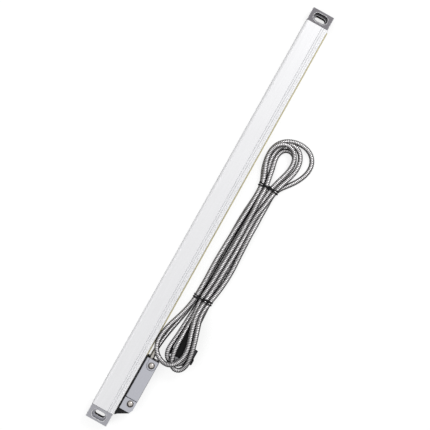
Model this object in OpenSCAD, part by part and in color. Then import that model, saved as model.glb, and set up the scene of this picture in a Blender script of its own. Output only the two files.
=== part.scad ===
// Sealed linear glass scale with a sliding read head and an armoured cable.
// Frame: +X along the bar, +Y away from the read head, +Z away from the mounting plane.
// The origin is the middle of the housing's back face.

/* [Housing] */
// Length over both end caps
overall_l = 492; // [300:1:900]
// Width of the aluminium extrusion
housing_w = 25.6; // [25:0.1:27]
// Height of the aluminium extrusion above the mounting plane
housing_h = 17; // [16.8:0.1:20]
// Thickness of the extrusion's side wall with the slot
slot_wall = 2; // [1.6:0.1:2.4]
// Thickness of the extrusion's other walls
wall = 2.2; // [1.6:0.1:2.4]
// Radius of the shoulder along the far top edge
shoulder_r = 3; // [1:0.1:3.2]
// Radius of the top edge beside the read head
edge_r = 0.8; // [0.3:0.1:1.4]
// Chamfer along both bottom edges
foot_chamfer = 0.5; // [0.2:0.1:1]
// Width of a decorative groove in the top face
groove_w = 0.9; // [0.4:0.1:1.2]
// Depth of a decorative groove
groove_depth = 0.45; // [0.2:0.05:0.8]
// Distance from the slot side's edge to the first groove
groove_inset = 2.4; // [2:0.1:3]
// Spacing of the grooves
groove_pitch = 2.2; // [1.6:0.1:2.4]
// Height of the slot that the blade runs in
slot_h = 4.4; // [4:0.1:4.8]
// Height of the slot's middle above the mounting plane
blade_z = 8.5; // [8.4:0.05:8.7]

/* [Sealing lips] */
// Radius of the lip's bead
bead_r = 0.8; // [0.6:0.05:0.85]
// Radial clearance of the bead in its groove
bead_fit = 0.05; // [0.02:0.01:0.1]
// Depth of the bead's middle beyond the slot edge
bead_depth = 1.2; // [1.1:0.05:1.4]
// Thickness of the lip's neck and flap
lip_t = 0.6; // [0.4:0.05:0.8]
// How far the lips stand proud of the housing
lip_proud = 1.3; // [0.6:0.1:1.5]
// Gap between the two lips' edges
lip_gap = 1.4; // [1.3:0.05:2]
// How far the lips end short of the housing's ends
lip_end_gap = 1.3; // [0.3:0.1:3]

/* [End caps] */
// Length of an end cap
cap_l = 14.5; // [13:0.1:20]
// Width of an end cap
cap_w = 25; // [24.5:0.1:25.4]
// Height of an end cap
cap_h = 15.5; // [15.4:0.1:16.5]
// Corner radius of an end cap
cap_r = 0.8; // [0.3:0.1:1.5]
// Width of the mounting slot
mount_slot_w = 5.2; // [4.5:0.1:5.6]
// Length of the mounting slot, end to end
mount_slot_l = 12; // [9:0.1:12]
// Width of the ledge round the slot
ledge_w = 2.1; // [1.5:0.1:2.1]
// Depth of the counterbore
counterbore_depth = 6.3; // [4:0.1:8]
// Chamfer round the counterbore's mouth
mouth_chamfer = 0.5; // [0.2:0.05:0.8]
// Chamfer round the mounting slot's edge on the ledge
slot_chamfer = 0.35; // [0.1:0.05:0.6]
// Thickness of the gasket between a cap and the housing
gasket_t = 0.5; // [0.3:0.1:1]
// Shank radius of a cap screw
cap_screw_r = 1.2; // [0.9:0.05:1.2]
// Head radius of a cap screw
cap_screw_head_r = 2.15; // [1.8:0.05:2.2]
// Length of a cap screw
cap_screw_l = 26; // [20:1:32]
// Length of a bumper
bumper_l = 11.5; // [5:0.5:14]
// Gap between the carriage and a bumper at the end of the travel
bumper_gap = 0.5; // [0.3:0.1:2]

/* [Glass and carriage] */
// Thickness of the glass scale
glass_t = 2; // [1.9:0.1:2.2]
// Width of the glass scale
glass_w = 10.8; // [10.6:0.1:11]
// How far the glass ends short of the housing's ends
glass_end_gap = 3; // [1:0.5:6]
// Length of the carriage
carriage_l = 54; // [50:1:56]
// Clearance between the carriage and the glass
glass_clear = 0.4; // [0.3:0.05:0.5]
// Thickness of the carriage's limb above the glass
upper_limb_t = 4.3; // [4.2:0.05:4.5]
// Thickness of the carriage's limb below the glass
lower_limb_t = 3.9; // [3.6:0.05:4]
// Thickness of the carriage's web
web_t = 3.9; // [3.6:0.05:4.2]
// Radius of a roller
roller_r = 2.4; // [2.2:0.05:2.45]
// Width of a roller
roller_w = 1.6; // [1.2:0.1:1.7]
// Radius of a roller's pin
roller_pin_r = 0.7; // [0.5:0.05:0.9]
// Radial running clearance of rollers on their pins
roller_fit = 0.05; // [0.02:0.01:0.08]
// Gap between a roller and the glass at rest
roller_gap = 0.03; // [0.02:0.01:0.08]

/* [Read head] */
// Length of the read head
head_l = 60.8; // [60:0.1:70]
// Width of the read head
head_w = 13.8; // [13.6:0.1:18]
// Gap between the housing's side and the head's cover
head_gap = 2; // [1.9:0.1:3]
// Lowest level of the read head
head_z0 = 1; // [0.5:0.1:1.5]
// Level of the read head's top
head_top = 16.4; // [16:0.1:17]
// Thickness of the cover plate
cover_t = 3; // [2.6:0.1:3.2]
// Length of the raised end block
block_l = 13.4; // [12:0.1:15]
// Width of the groove between the end block and the cover
seam_w = 1; // [0.4:0.1:1.6]
// Radius of the pad round the right screw
pad_r = 5; // [4.4:0.1:5.2]
// Gap between the pad and the cover's notch
pad_gap = 0.4; // [0.2:0.05:0.8]
// Wall thickness of the read head
head_wall = 1.6; // [1.4:0.1:1.8]
// Distance of the left head screw from the head's left end
screw_inset_left = 8.9; // [8:0.1:9.4]
// Distance of the right head screw from the head's right end
screw_inset_right = 6.2; // [5.8:0.1:7]
// Head radius of a head screw
head_screw_head_r = 3.65; // [3:0.05:3.8]
// Core radius of the tapped holes
tap_r = 1.65; // [1.4:0.05:1.7]
// Depth of the tapped mounting holes in the back
mount_hole_depth = 6.5; // [5:0.5:7]
// Chamfer of the head's near left corner, along the bar
nose_l = 4; // [1:0.5:6]
// Chamfer of the head's near left corner, across the bar
nose_w = 2; // [1:0.5:4]
// Clearance between the arm and the housing's side
arm_clear = 0.3; // [0.3:0.05:0.5]
// How far the arm reaches past the head's left end
arm_reach = 8.8; // [4:0.1:9]
// Thickness of the blade
blade_t = 0.8; // [0.6:0.05:0.85]
// Length of the blade
blade_l = 50; // [40:1:52]

/* [Cable] */
// Outer diameter of the armoured cable
cable_d = 5.2; // [4.8:0.1:5.4]
// Length of the ferrule at the head
ferrule_l = 11; // [8:0.5:11]
// Largest radius of the ferrule
ferrule_r = 2.9; // [2.8:0.05:2.95]
// Thickness of the hank at its ties
hank_h = 12; // [10.6:0.1:14]
// Height of the loops that pass over the plug
loops_top = 24; // [20.8:0.1:28]
// Width of one winding of a tie
tie_w = 1.7; // [1.2:0.1:2]
// Thickness of a tie
tie_t = 0.9; // [0.6:0.1:0.9]

/* [Plug] */
// Height of the plug's hood
hood_h = 15; // [14:0.1:15.2]
// Width of the hood across its ears
hood_ear_w = 31.4; // [31:0.1:33]
// Width of the hood's body
hood_body_w = 18.6; // [18:0.1:19]
// Length of the hood
hood_l = 35; // [34:0.5:40]
// Thickness of the hood's ears
ear_t = 5; // [4:0.5:6]
// Distance between the thumbscrews
thumb_pitch = 25; // [24.6:0.1:25.4]
// Radius of a thumbscrew's knob
thumb_knob_r = 2.5; // [2.4:0.1:3]
// Radius of a thumbscrew's shaft
thumb_r = 1.4; // [1.1:0.05:1.5]
// Radial clearance of a thumbscrew in the hood's ear
thumb_fit = 0.06; // [0.03:0.01:0.1]

/* [Hidden] */

fine = 48;
eps = 0.01;

// housing
housing_l = overall_l - 2 * (cap_l + gasket_t);
half_w = housing_w / 2;
cavity_y0 = -half_w + slot_wall;
cavity_y1 = half_w - wall;
cavity_z0 = wall;
cavity_z1 = housing_h - wall;
slot_z0 = blade_z - slot_h / 2;
slot_z1 = blade_z + slot_h / 2;
rail_h = 2.4;
rail_w = 1.5;
bead_y = -half_w + 1.8;
port_fit = 0.05;
port_r = cap_screw_r + port_fit;
port_wall = 0.9;
port_low = [-half_w + 4, 3.3];
port_high = [half_w - 2.9, 12.5];

// glass
glass_z0 = blade_z - glass_t / 2;
glass_z1 = glass_z0 + glass_t;
glass_y1 = cavity_y1 - 0.2;
glass_y0 = glass_y1 - glass_w;
glass_l = housing_l - 2 * glass_end_gap;
ledge_t = 1.6;
ledge_depth = 3;
retainer_t = 0.9;
retainer_w = 1.6;

// caps
cap_x = housing_l / 2 + gasket_t;
slot_x = cap_x + cap_l / 2;
slot_reach = (mount_slot_l - mount_slot_w) / 2;
bumper_w = 8;
bumper_h = 3.2;
bumper_z = 10.6;

// carriage, at the left end of its travel
travel = 2 * (cap_x - bumper_l - bumper_gap) - carriage_l;
carriage_x = -travel / 2;
upper_z0 = glass_z1 + glass_clear;
upper_z1 = upper_z0 + upper_limb_t;
lower_z1 = glass_z0 - glass_clear;
lower_z0 = lower_z1 - lower_limb_t;
mouth_y = glass_y0 - glass_clear;
carriage_y0 = mouth_y - web_t;
carriage_y1 = cavity_y1 - ledge_depth - glass_clear;
top_roller_z = glass_z1 + roller_gap + roller_r;
edge_roller_y = glass_y0 - roller_gap - roller_r;
near_roller_y = mouth_y + 3;
far_roller_y = near_roller_y + 3;
top_roller_x = 20;
far_roller_x = 10;
edge_roller_x = 15;
roller_pocket = 0.4;
roller_side = 0.15;
top_pin_l = 5;
pin_y0 = -2.9;
edge_pin_l = 4.6;
pin_end = 0.1;
optic_y = near_roller_y + 1.4;
lens_r = 2.3;
window_l = 12;
window_w = 4.4;
board_t = 1;
lamp_l = 14;
lamp_w = 6;
grating_rim = 1;
sensor_rim = 2;
sensor_w = 6.8;
part_fit = 0.05;

// read head
head_x = carriage_x + 1.5;
head_x0 = head_x - head_l / 2;
head_x1 = head_x + head_l / 2;
head_y1 = -half_w - head_gap;
head_y0 = head_y1 - head_w;
cover_z0 = head_top - cover_t;
body_y1 = head_y1 - 1;
block_x1 = head_x0 + block_l;
cover_x0 = block_x1 + seam_w;
head_screw_y = head_y1 - 8;
head_screw_x = [head_x0 + screw_inset_left, head_x1 - screw_inset_right];
pad_top = head_top - 0.4;
bay_x0 = block_x1 + 4;
bay_x1 = head_screw_x[1] - pad_r - 2;
bay_z0 = head_z0 + 1.8;
head_screw_l = 6.8;
tap_fit = 0.05;
head_r = 0.6;
post_l = 3;
post_w = 2.2;
gasket_h = 0.4;
ground_y = head_y0 + 3.6;
ground_z = 9;
ground_screw_l = screw_inset_right - tap_r - 0.55;

// arm and blade
arm_x0 = head_x0 - arm_reach;
arm_x1 = head_x1 + 1.2;
arm_y1 = -half_w - arm_clear;
arm_z0 = head_z0 + 0.2;
arm_z1 = head_top - 1.2;
recess_y = -half_w - lip_proud - arm_clear;
recess_z0 = slot_z0 - 0.4;
recess_z1 = slot_z1 + 0.4;
blade_y0 = body_y1;
flange_y = body_y1 + blade_t;
blade_y1 = carriage_y0 - 1.2;
blade_clear = 0.05;
flange_z0 = arm_z0 + 1;
flex_t = 0.15;
flex_w = 8;
inner_end = 4;
flex_x = bay_x1 - inner_end - 1.7 - flex_w / 2;
blade_screw_x = 17;
arm_screw_x = (bay_x1 - bay_x0) / 2 - 4.1;
arm_screw_z = (recess_z1 + cover_z0) / 2;
small_r = 0.8;
small_fit = 0.05;
small_head_r = 1.45;
small_head_h = 1;
coupling_r = 1;
coupling_wire_r = 0.25;
coupling_coil_r = 1.5;
coupling_turn = 330;
board_z = bay_z0 + 1.4;
board_gap = 0.5;

// gland and cable
cable_r = cable_d / 2;
cable_y = head_y1 - 4;
cable_z = 8.7;
spigot_r = 2.4;
spigot_l = 3.6;
nut_l = 3.4;
wire_r = 1.5;
ferrule_x1 = head_x1 + ferrule_l;
hank_x0 = ferrule_x1 + 3.6;

// Route of the cable's two free stretches, and outline of the hank from the ferrule's end, hand-chosen
lead_route = [
    [ferrule_x1, cable_y, cable_z],
    [ferrule_x1 + 1.8, cable_y, cable_z],
    [hank_x0, cable_y, cable_z],
];
hank_top = [
    [-7.4, -6.2], [-1.4, 0.3], [8.6, 4], [24.6, 4], [39.6, 1.2], [54.6, -3.6], [69.6, -7.2],
    [89.6, -7.2], [109.6, -6.8], [129.6, -7.2], [159.6, -8.6], [189.6, -10.2], [206.6, -10.4],
    [218.6, -5.7], [229.6, -1.6], [241.6, 0], [251.6, -3.2], [258.6, -11.2], [263.1, -23.2],
    [263.6, -36.2], [257.6, -46.2], [245.6, -51.4],
];
hank_bottom = [
    [233.6, -50.8], [219.6, -43.2], [206.6, -31.2], [189.6, -29.6], [164.6, -30.2], [129.6, -32.2],
    [109.6, -32.2], [89.6, -30.7], [69.6, -27.8], [54.6, -29.4], [34.6, -34.6], [16.6, -38.6],
    [4.6, -39.4], [-5.4, -37.2], [-10.2, -30.2], [-10, -17.2],
];
loops_x = ferrule_x1 + 53.6;
tie_left_x = ferrule_x1 + 69.3;
tie_right_x = ferrule_x1 + 206.4;
tie_gap = 0.5;
tie_top = hank_h - 0.4;
tie_half = tie_w + tie_gap / 2;
tie_left_y = [cable_y - 26.8, cable_y - 7.4];
tie_right_y = [cable_y - 30.8, cable_y - 10.8];
beyond = 100;

// plug
plug_y = cable_y - 24.7;
hood_x0 = ferrule_x1 + 3.6;
hood_x1 = hood_x0 + hood_l;
hood_mid = hood_h / 2;
hood_wall = 1.6;
hood_chamfer = 1.2;
hood_post_r = 2.2;
hood_screw_x = hood_x0 + 13;
hood_screw_y = hood_body_w / 2 - 2.6;
neck_w = 3.4;
shell_l = 6;
shell_w = 16.9;
shell_h = 8.4;
shell_t = 0.5;
shell_r = 2.4;
flange_t = 0.6;
thumb_tip = 5;
knob_l = 10;
knob_x0 = hood_x0 + ear_t + 0.5;
tail_x1 = hood_x1 + 9;
pocket_gap = 0.4;
pin_r = 0.48;
pin_pitch = 2.77;
pin_row = 1.42;
tail_route = [
    [hood_x1, plug_y, hood_mid],
    [hood_x1 + 4, plug_y, hood_mid],
    [tail_x1, plug_y, hood_mid],
];

// ---------- helpers ----------

// Extrudes a (y, z) profile along +X from x0
module along_x(x0, length) {
    translate([x0, 0, 0]) rotate([90, 0, 90]) linear_extrude(length) children();
}

// What a rounded corner loses; turn 0 is a lower left corner, and each 90 is the next one round
module corner_off(at, turn, r) {
    translate(at) rotate(turn) difference() {
        translate([-1, -1]) square(r + 1);
        translate([r, r]) circle(r, $fn = fine);
    }
}

module rounded_rect(size, r) {
    difference() {
        square(size);
        corner_off([0, 0], 0, r);
        corner_off([size.x, 0], 90, r);
        corner_off([size.x, size.y], 180, r);
        corner_off([0, size.y], 270, r);
    }
}

module chamfered_rect(size, c) {
    polygon([
        [c, 0], [size.x - c, 0], [size.x, c], [size.x, size.y - c],
        [size.x - c, size.y], [c, size.y], [0, size.y - c], [0, c],
    ]);
}

// A slot with round ends; reach is from its middle to each end's centre, along Y
module obround(reach, r) {
    translate([-r, -reach]) square([2 * r, 2 * reach]);
    for (side = [-1, 1]) translate([0, side * reach]) circle(r, $fn = fine);
}

// Cuts a chamfer c wide round the edge of such a slot, whose face is at Z 0
module obround_chamfer(reach, r, c) {
    for (side = [-1, 1]) translate([0, side * reach, -c])
        cylinder(h = c + eps, r1 = r, r2 = r + c + eps, $fn = fine);
    translate([0, reach, 0]) rotate([90, 0, 0]) linear_extrude(2 * reach)
        polygon([[-r - c - eps, eps], [-r, -c], [r, -c], [r + c + eps, eps]]);
}

module cylinder_x(x0, length, r) translate([x0, 0, 0]) rotate([0, 90, 0])
    cylinder(h = length, r = r, $fn = fine);

module cylinder_y(y0, length, r) translate([0, y0, 0]) rotate([-90, 0, 0])
    cylinder(h = length, r = r, $fn = fine);

module box(low, high) translate(low) cube(high - low);

// A screw along -Z whose head stands on z = 0, with a cross recess
module pan_screw(head_r, head_h, shank_r, shank_l) {
    dome_h = head_h * 0.7;
    dome_r = (head_r * head_r + dome_h * dome_h) / (2 * dome_h);
    difference() {
        rotate_extrude($fn = fine) intersection() {
            square([head_r, head_h]);
            union() {
                square([head_r, head_h * 0.25]);
                translate([0, head_h - dome_r]) circle(dome_r, $fn = 96);
            }
        }
        for (turn = [0, 90]) rotate(turn) box(
            [-head_r * 0.55, -head_r * 0.13, head_h * 0.4], [head_r * 0.55, head_r * 0.13, head_h + 1]);
    }
    translate([0, 0, -shank_l]) cylinder(h = shank_l + eps, r = shank_r, $fn = fine);
}

function unit(v) = v / norm(v);
function spline_at(a, b, c, d, t) =
    ((2 * b) + (c - a) * t + (2 * a - 5 * b + 4 * c - d) * t * t + (3 * b - a - 3 * c + d) * t * t * t) / 2;
// A closed smooth curve through the points, with steps pieces between two neighbours
function closed_curve(p, steps) = [
    for (i = [0 : len(p) - 1], s = [0 : steps - 1])
        spline_at(p[(i + len(p) - 1) % len(p)], p[i], p[(i + 1) % len(p)], p[(i + 2) % len(p)], s / steps)
];

// A round tube swept along points; up is any direction that the route never follows
module tube(route, r, sides, up = [0, 0, 1]) {
    n = len(route);
    directions = [for (i = [0 : n - 1]) unit(route[min(i + 1, n - 1)] - route[max(i - 1, 0)])];
    rings = [
        for (i = [0 : n - 1], k = [0 : sides - 1])
            let (side = unit(cross(directions[i], up)), lift = cross(side, directions[i]))
            route[i] + r * (cos(360 * k / sides) * side + sin(360 * k / sides) * lift)
    ];
    faces = concat(
        [[for (k = [0 : sides - 1]) k]],
        [for (i = [0 : n - 2], k = [0 : sides - 1]) let (a = i * sides, b = a + sides, m = (k + 1) % sides)
            [a + k, b + k, b + m, a + m]],
        [[for (k = [sides - 1 : -1 : 0]) (n - 1) * sides + k]]
    );
    polyhedron(points = rings, faces = faces, convexity = 4);
}

// ---------- housing ----------

module housing_profile() {
    difference() {
        union() {
            difference() {
                translate([-half_w, 0]) square([housing_w, housing_h]);
                translate([cavity_y0, cavity_z0]) square([cavity_y1 - cavity_y0, cavity_z1 - cavity_z0]);
            }
            // rails that hold the lips' beads
            translate([cavity_y0 - eps, slot_z0 - rail_h]) square([rail_w, rail_h]);
            translate([cavity_y0 - eps, slot_z1]) square([rail_w, rail_h]);
            // ledges above and below the glass
            translate([cavity_y1 - ledge_depth, glass_z0 - ledge_t]) square([ledge_depth + eps, ledge_t]);
            translate([cavity_y1 - retainer_w - 0.6, glass_z1 + retainer_t])
                square([retainer_w + 0.6 + eps, cavity_z1 - glass_z1 - retainer_t + eps]);
            // screw ports
            translate(port_low) circle(port_r + port_wall, $fn = fine);
            translate([port_low.x - port_r - port_wall, cavity_z0 - eps])
                square([2 * (port_r + port_wall), port_low.y - cavity_z0]);
        }
        translate([-half_w - 1, slot_z0]) square([slot_wall + rail_w + 1, slot_h]);
        for (z = [slot_z0 - bead_depth, slot_z1 + bead_depth]) translate([bead_y, z])
            circle(bead_r + bead_fit, $fn = fine);
        translate([bead_y - lip_t / 2 - bead_fit, slot_z0 - bead_depth])
            square([lip_t + 2 * bead_fit, slot_h + 2 * bead_depth]);
        translate(port_low) circle(port_r, $fn = fine);
        translate(port_high) circle(port_r, $fn = fine);
        for (i = [0 : 2]) translate([-half_w + groove_inset + i * groove_pitch, housing_h]) polygon([
            [-groove_w / 2, 1], [-groove_w / 2, 0], [0, -groove_depth], [groove_w / 2, 0], [groove_w / 2, 1],
        ]);
        corner_off([half_w, housing_h], 180, shoulder_r);
        corner_off([-half_w, housing_h], 270, edge_r);
        for (side = [-1, 1]) translate([side * half_w, 0]) rotate(45)
            square(foot_chamfer * sqrt(2), center = true);
    }
}

module housing() color("gainsboro") along_x(-housing_l / 2, housing_l) housing_profile();

// One lip, seen along the bar, lower one as it lies; the tip is below the blade
module lip_profile() {
    root_z = slot_z0 - bead_depth;
    tip = [-half_w - lip_proud, blade_z - lip_gap / 2];
    translate([bead_y, root_z]) circle(bead_r, $fn = fine);
    translate([bead_y - lip_t / 2, root_z]) square([lip_t, bead_depth + 0.4]);
    polygon([
        [bead_y - lip_t / 2, root_z + bead_depth + 0.1], [bead_y + lip_t / 2, root_z + bead_depth + 0.1],
        [bead_y + lip_t / 2, root_z + bead_depth + 0.5], [tip.x + 0.3, tip.y], tip, [tip.x, tip.y - 0.3],
    ]);
}

module lip_bar() along_x(-housing_l / 2 + lip_end_gap, housing_l - 2 * lip_end_gap) lip_profile();

module lip_lower() color("darkkhaki") lip_bar();

module lip_upper() color("darkkhaki") translate([0, 0, 2 * blade_z]) mirror([0, 0, 1]) lip_bar();

module glass_scale() color([0.75, 0.85, 0.85, 0.6])
    box([-glass_l / 2, glass_y0, glass_z0], [glass_l / 2, glass_y1, glass_z1]);

module glass_retainer() color("dimgray")
    box([-glass_l / 2, glass_y1 - retainer_w, glass_z1], [glass_l / 2, glass_y1, glass_z1 + retainer_t]);

// ---------- end caps, made at the right end and mirrored for the left ----------

module both_ends() {
    children();
    mirror([1, 0, 0]) children();
}

module cap_screw_places() for (p = [port_low, port_high]) translate([0, p.x, p.y]) children();

module end_cap() {
    head_h = cap_screw_head_r - cap_screw_r + 0.1;
    difference() {
        intersection() {
            translate([cap_x, -cap_w / 2, 0]) linear_extrude(cap_h) rounded_rect([cap_l, cap_w], cap_r);
            translate([cap_x - 1, -cap_w / 2, 0]) along_x(0, cap_l + 2)
                chamfered_rect([cap_w, cap_h], foot_chamfer);
        }
        translate([slot_x, 0, -1]) linear_extrude(cap_h + 2) obround(slot_reach, mount_slot_w / 2);
        translate([slot_x, 0, cap_h - counterbore_depth]) linear_extrude(counterbore_depth + 1)
            obround(slot_reach, mount_slot_w / 2 + ledge_w);
        translate([slot_x, 0, cap_h]) obround_chamfer(slot_reach, mount_slot_w / 2 + ledge_w, mouth_chamfer);
        translate([slot_x, 0, cap_h - counterbore_depth])
            obround_chamfer(slot_reach, mount_slot_w / 2, slot_chamfer);
        cap_screw_places() {
            cylinder_x(cap_x - 1, cap_l + 2, cap_screw_r + 0.15);
            translate([cap_x + cap_l - head_h, 0, 0]) rotate([0, 90, 0])
                cylinder(h = head_h + eps, r1 = cap_screw_r + 0.15, r2 = cap_screw_head_r + 0.1, $fn = fine);
        }
    }
}

module cap_left() color("darkgray") mirror([1, 0, 0]) end_cap();

module cap_right() color("darkgray") end_cap();

module end_gasket() {
    inset = 0.4;
    difference() {
        along_x(housing_l / 2, gasket_t) translate([-cap_w / 2 + inset, inset])
            rounded_rect([cap_w - 2 * inset, cap_h - 2 * inset], cap_r);
        cap_screw_places() cylinder_x(housing_l / 2 - 1, gasket_t + 2, cap_screw_r + 0.2);
        box([housing_l / 2 - 1, -bumper_w / 2 - 0.2, bumper_z - 0.2],
            [cap_x + 1, bumper_w / 2 + 0.2, bumper_z + bumper_h + 0.2]);
    }
}

module gasket_left() color("black") mirror([1, 0, 0]) end_gasket();

module gasket_right() color("black") end_gasket();

module cap_screw() {
    head_h = cap_screw_head_r - cap_screw_r;
    difference() {
        union() {
            cylinder_x(cap_x + cap_l - cap_screw_l, cap_screw_l - head_h + eps, cap_screw_r);
            translate([cap_x + cap_l - head_h, 0, 0]) rotate([0, 90, 0])
                cylinder(h = head_h, r1 = cap_screw_r, r2 = cap_screw_head_r, $fn = fine);
        }
        for (turn = [0, 90]) rotate([turn, 0, 0])
            box([cap_x + cap_l - head_h, -1.1, -0.25], [cap_x + cap_l + 1, 1.1, 0.25]);
    }
}

module cap_screws() color("silver") both_ends() cap_screw_places() cap_screw();

module bumper() box(
    [cap_x - bumper_l, -bumper_w / 2, bumper_z], [cap_x, bumper_w / 2, bumper_z + bumper_h]);

module bumper_left() color("dimgray") mirror([1, 0, 0]) bumper();

module bumper_right() color("dimgray") bumper();

// ---------- read head ----------

module head_plan(x0, x1, y0, y1, nose) {
    difference() {
        translate([x0, y0]) rounded_rect([x1 - x0, y1 - y0], head_r);
        if (nose) translate([x0, y0])
            polygon([[-1, -1], [nose_l, -1], [nose_l, 0], [0, nose_w], [-1, nose_w]]);
    }
}

module pad_plan(r) {
    translate([head_screw_x[1], head_screw_y]) {
        circle(r, $fn = fine);
        translate([0, -r]) square([head_x1 - head_screw_x[1] + (r > pad_r ? 1 : 0), 2 * r]);
    }
}

// A screw whose shank runs from y0 towards +Y, with its head on the other side
module small_screw_y(y0, length) {
    cylinder_y(y0 - eps, length + eps, small_r);
    cylinder_y(y0 - small_head_h, small_head_h, small_head_r);
}

module blade_screw_places() for (side = [-1, 1])
    translate([carriage_x + side * blade_screw_x, 0, flange_z0 + 1.6]) children();

module arm_screw_places() for (side = [-1, 1])
    translate([(bay_x0 + bay_x1) / 2 + side * arm_screw_x, 0, arm_screw_z]) children();

module head_body() color("lightsteelblue") {
    difference() {
        union() {
            translate([0, 0, head_z0]) linear_extrude(cover_z0 - head_z0)
                head_plan(head_x0, head_x1, head_y0, body_y1, true);
            translate([0, 0, cover_z0 - eps]) linear_extrude(head_top - cover_z0 + eps)
                head_plan(head_x0, block_x1, head_y0, head_y1, true);
            translate([0, 0, cover_z0 - eps]) linear_extrude(pad_top - cover_z0 + eps) pad_plan(pad_r);
        }
        // bay for the electronics
        difference() {
            box([bay_x0, head_y0 + head_wall, bay_z0], [bay_x1, body_y1 - head_wall, head_top + 1]);
            for (x = [bay_x0, bay_x1 - post_l], y = [head_y0 + head_wall, body_y1 - head_wall - post_w])
                box([x - eps, y - eps, bay_z0 - eps], [x + post_l + eps, y + post_w + eps, board_z]);
        }
        for (x = head_screw_x) translate([x, head_screw_y, 0]) {
            translate([0, 0, head_z0 - 1]) cylinder(h = mount_hole_depth + 1, r = tap_r, $fn = fine);
            translate([0, 0, pad_top - head_screw_l - 0.4])
                cylinder(h = head_screw_l + 2, r = tap_r + tap_fit, $fn = fine);
        }
        translate([0, cable_y, cable_z]) {
            cylinder_x(head_x1 - spigot_l - 0.1, spigot_l + 1, spigot_r + tap_fit);
            cylinder_x(bay_x1 - 1, head_x1 - bay_x1, wire_r + 0.1);
        }
        translate([0, ground_y, ground_z])
            cylinder_x(head_x1 - ground_screw_l - 0.3, ground_screw_l + 1, small_r + tap_fit);
        // window for the ribbon
        box([flex_x - flex_w / 2 - 0.3, body_y1 - head_wall - 1, blade_z - 0.6],
            [flex_x + flex_w / 2 + 0.3, body_y1 + 1, blade_z + 1.1]);
        blade_screw_places() cylinder_y(body_y1 - small_head_h - 0.2, small_head_h + 1, small_head_r + 0.3);
        arm_screw_places() cylinder_y(body_y1 - head_wall - 1, head_wall + 2, small_r + small_fit);
        cover_screw_places() {
            translate([0, 0, head_z0 - 1]) cylinder(h = cover_z0, r = small_r + 0.15, $fn = fine);
            translate([0, 0, head_z0 - 1])
                cylinder(h = 1 + small_head_h + 0.3, r = small_head_r + 0.15, $fn = fine);
        }
    }
}

module cover_screw_places() {
    translate([block_x1 + 2.4, head_y0 + 3.2, 0]) children();
    translate([bay_x1 + 1.8, head_y0 + 1.9, 0]) children();
}

module head_cover() color("lightsteelblue") {
    difference() {
        intersection() {
            translate([0, 0, cover_z0 + gasket_h]) linear_extrude(cover_t - gasket_h)
                head_plan(cover_x0, head_x1, head_y0, head_y1, false);
            along_x(cover_x0 - 1, head_l) translate([head_y0, cover_z0 - 1])
                chamfered_rect([head_w, head_top - cover_z0 + 1], 0.4);
        }
        translate([0, 0, cover_z0 - 1]) linear_extrude(cover_t + 2) pad_plan(pad_r + pad_gap);
        // clearance for the arm screws' heads
        box([bay_x0, head_y0 + head_wall + 1, cover_z0 - 1], [bay_x1, body_y1 - head_wall, cover_z0 + 1]);
        cover_screw_places() translate([0, 0, cover_z0 - 1])
            cylinder(h = 3, r = small_r + small_fit, $fn = fine);
    }
}

module cover_gasket() color("black") difference() {
    translate([0, 0, cover_z0]) linear_extrude(gasket_h)
        head_plan(cover_x0 + 0.3, head_x1 - 0.3, head_y0 + 0.3, body_y1 - 0.1, false);
    translate([0, 0, cover_z0 - 1]) linear_extrude(3) pad_plan(pad_r + pad_gap);
    box([bay_x0, head_y0 + head_wall, cover_z0 - 1], [bay_x1, body_y1 - head_wall, cover_z0 + 1]);
    cover_screw_places() translate([0, 0, cover_z0 - 1]) cylinder(h = 3, r = small_r + 0.2, $fn = fine);
}

module cover_screws() color("silver") cover_screw_places() translate([0, 0, head_z0 + small_head_h + 0.2])
    mirror([0, 0, 1]) pan_screw(small_head_r, small_head_h, small_r, cover_z0 + 1.6 - head_z0 - small_head_h);

module head_screws() color("silver") {
    for (i = [0, 1]) translate([head_screw_x[i], head_screw_y, i == 0 ? head_top : pad_top])
        pan_screw(head_screw_head_r, 2.6, tap_r, head_screw_l);
}

module ground_screw() color("silver") translate([head_x1, ground_y, ground_z]) rotate([0, 90, 0])
    pan_screw(1.8, 1.4, small_r, ground_screw_l);

module drive_arm() color([0.12, 0.12, 0.13]) difference() {
    union() {
        along_x(arm_x0, arm_x1 - arm_x0) polygon([
            [arm_y1, arm_z0], [body_y1, arm_z0], [body_y1, cover_z0 - 0.1], [head_y1 + 0.1, cover_z0 - 0.1],
            [head_y1 + 0.1, arm_z1], [arm_y1, arm_z1], [arm_y1, recess_z1], [recess_y, recess_z1],
            [recess_y, recess_z0], [arm_y1, recess_z0],
        ]);
        // wedge that stiffens the head's left end
        translate([0, 0, arm_z0 + 2]) linear_extrude(arm_z1 - arm_z0 - 5) polygon([
            [arm_x0 + 0.4, body_y1 + 1], [head_x0, body_y1 + 1], [head_x0, head_y0 + nose_w],
            [head_x0 - 1.4, head_y0 + nose_w],
        ]);
    }
    // the near end is cut along the wedge's slope
    translate([0, 0, arm_z0 - 1]) linear_extrude(arm_z1 + 2) polygon([
        [arm_x0 - 1, arm_y1 - 0.6], [arm_x0, arm_y1 - 0.6], [head_x0 - 1.4, head_y0 + nose_w],
        [head_x0 - 1.4, head_y0 - 1], [arm_x0 - 1, head_y0 - 1],
    ]);
    // slot and pocket for the blade and its flange
    blade_box(blade_clear, blade_z + blade_t / 2 + flex_t + 2 * blade_clear);
    flange_box(blade_clear);
    blade_screw_places() cylinder_y(arm_y1 - 3, 2.6, small_r + small_fit);
    arm_screw_places() cylinder_y(arm_y1 - 3, 2.6, small_r + small_fit);
}

module blade_box(clear, top) {
    box([carriage_x - blade_l / 2 - clear, blade_y0 - clear, blade_z - blade_t / 2 - clear],
        [carriage_x + blade_l / 2 + clear, blade_y1, top]);
}

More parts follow.
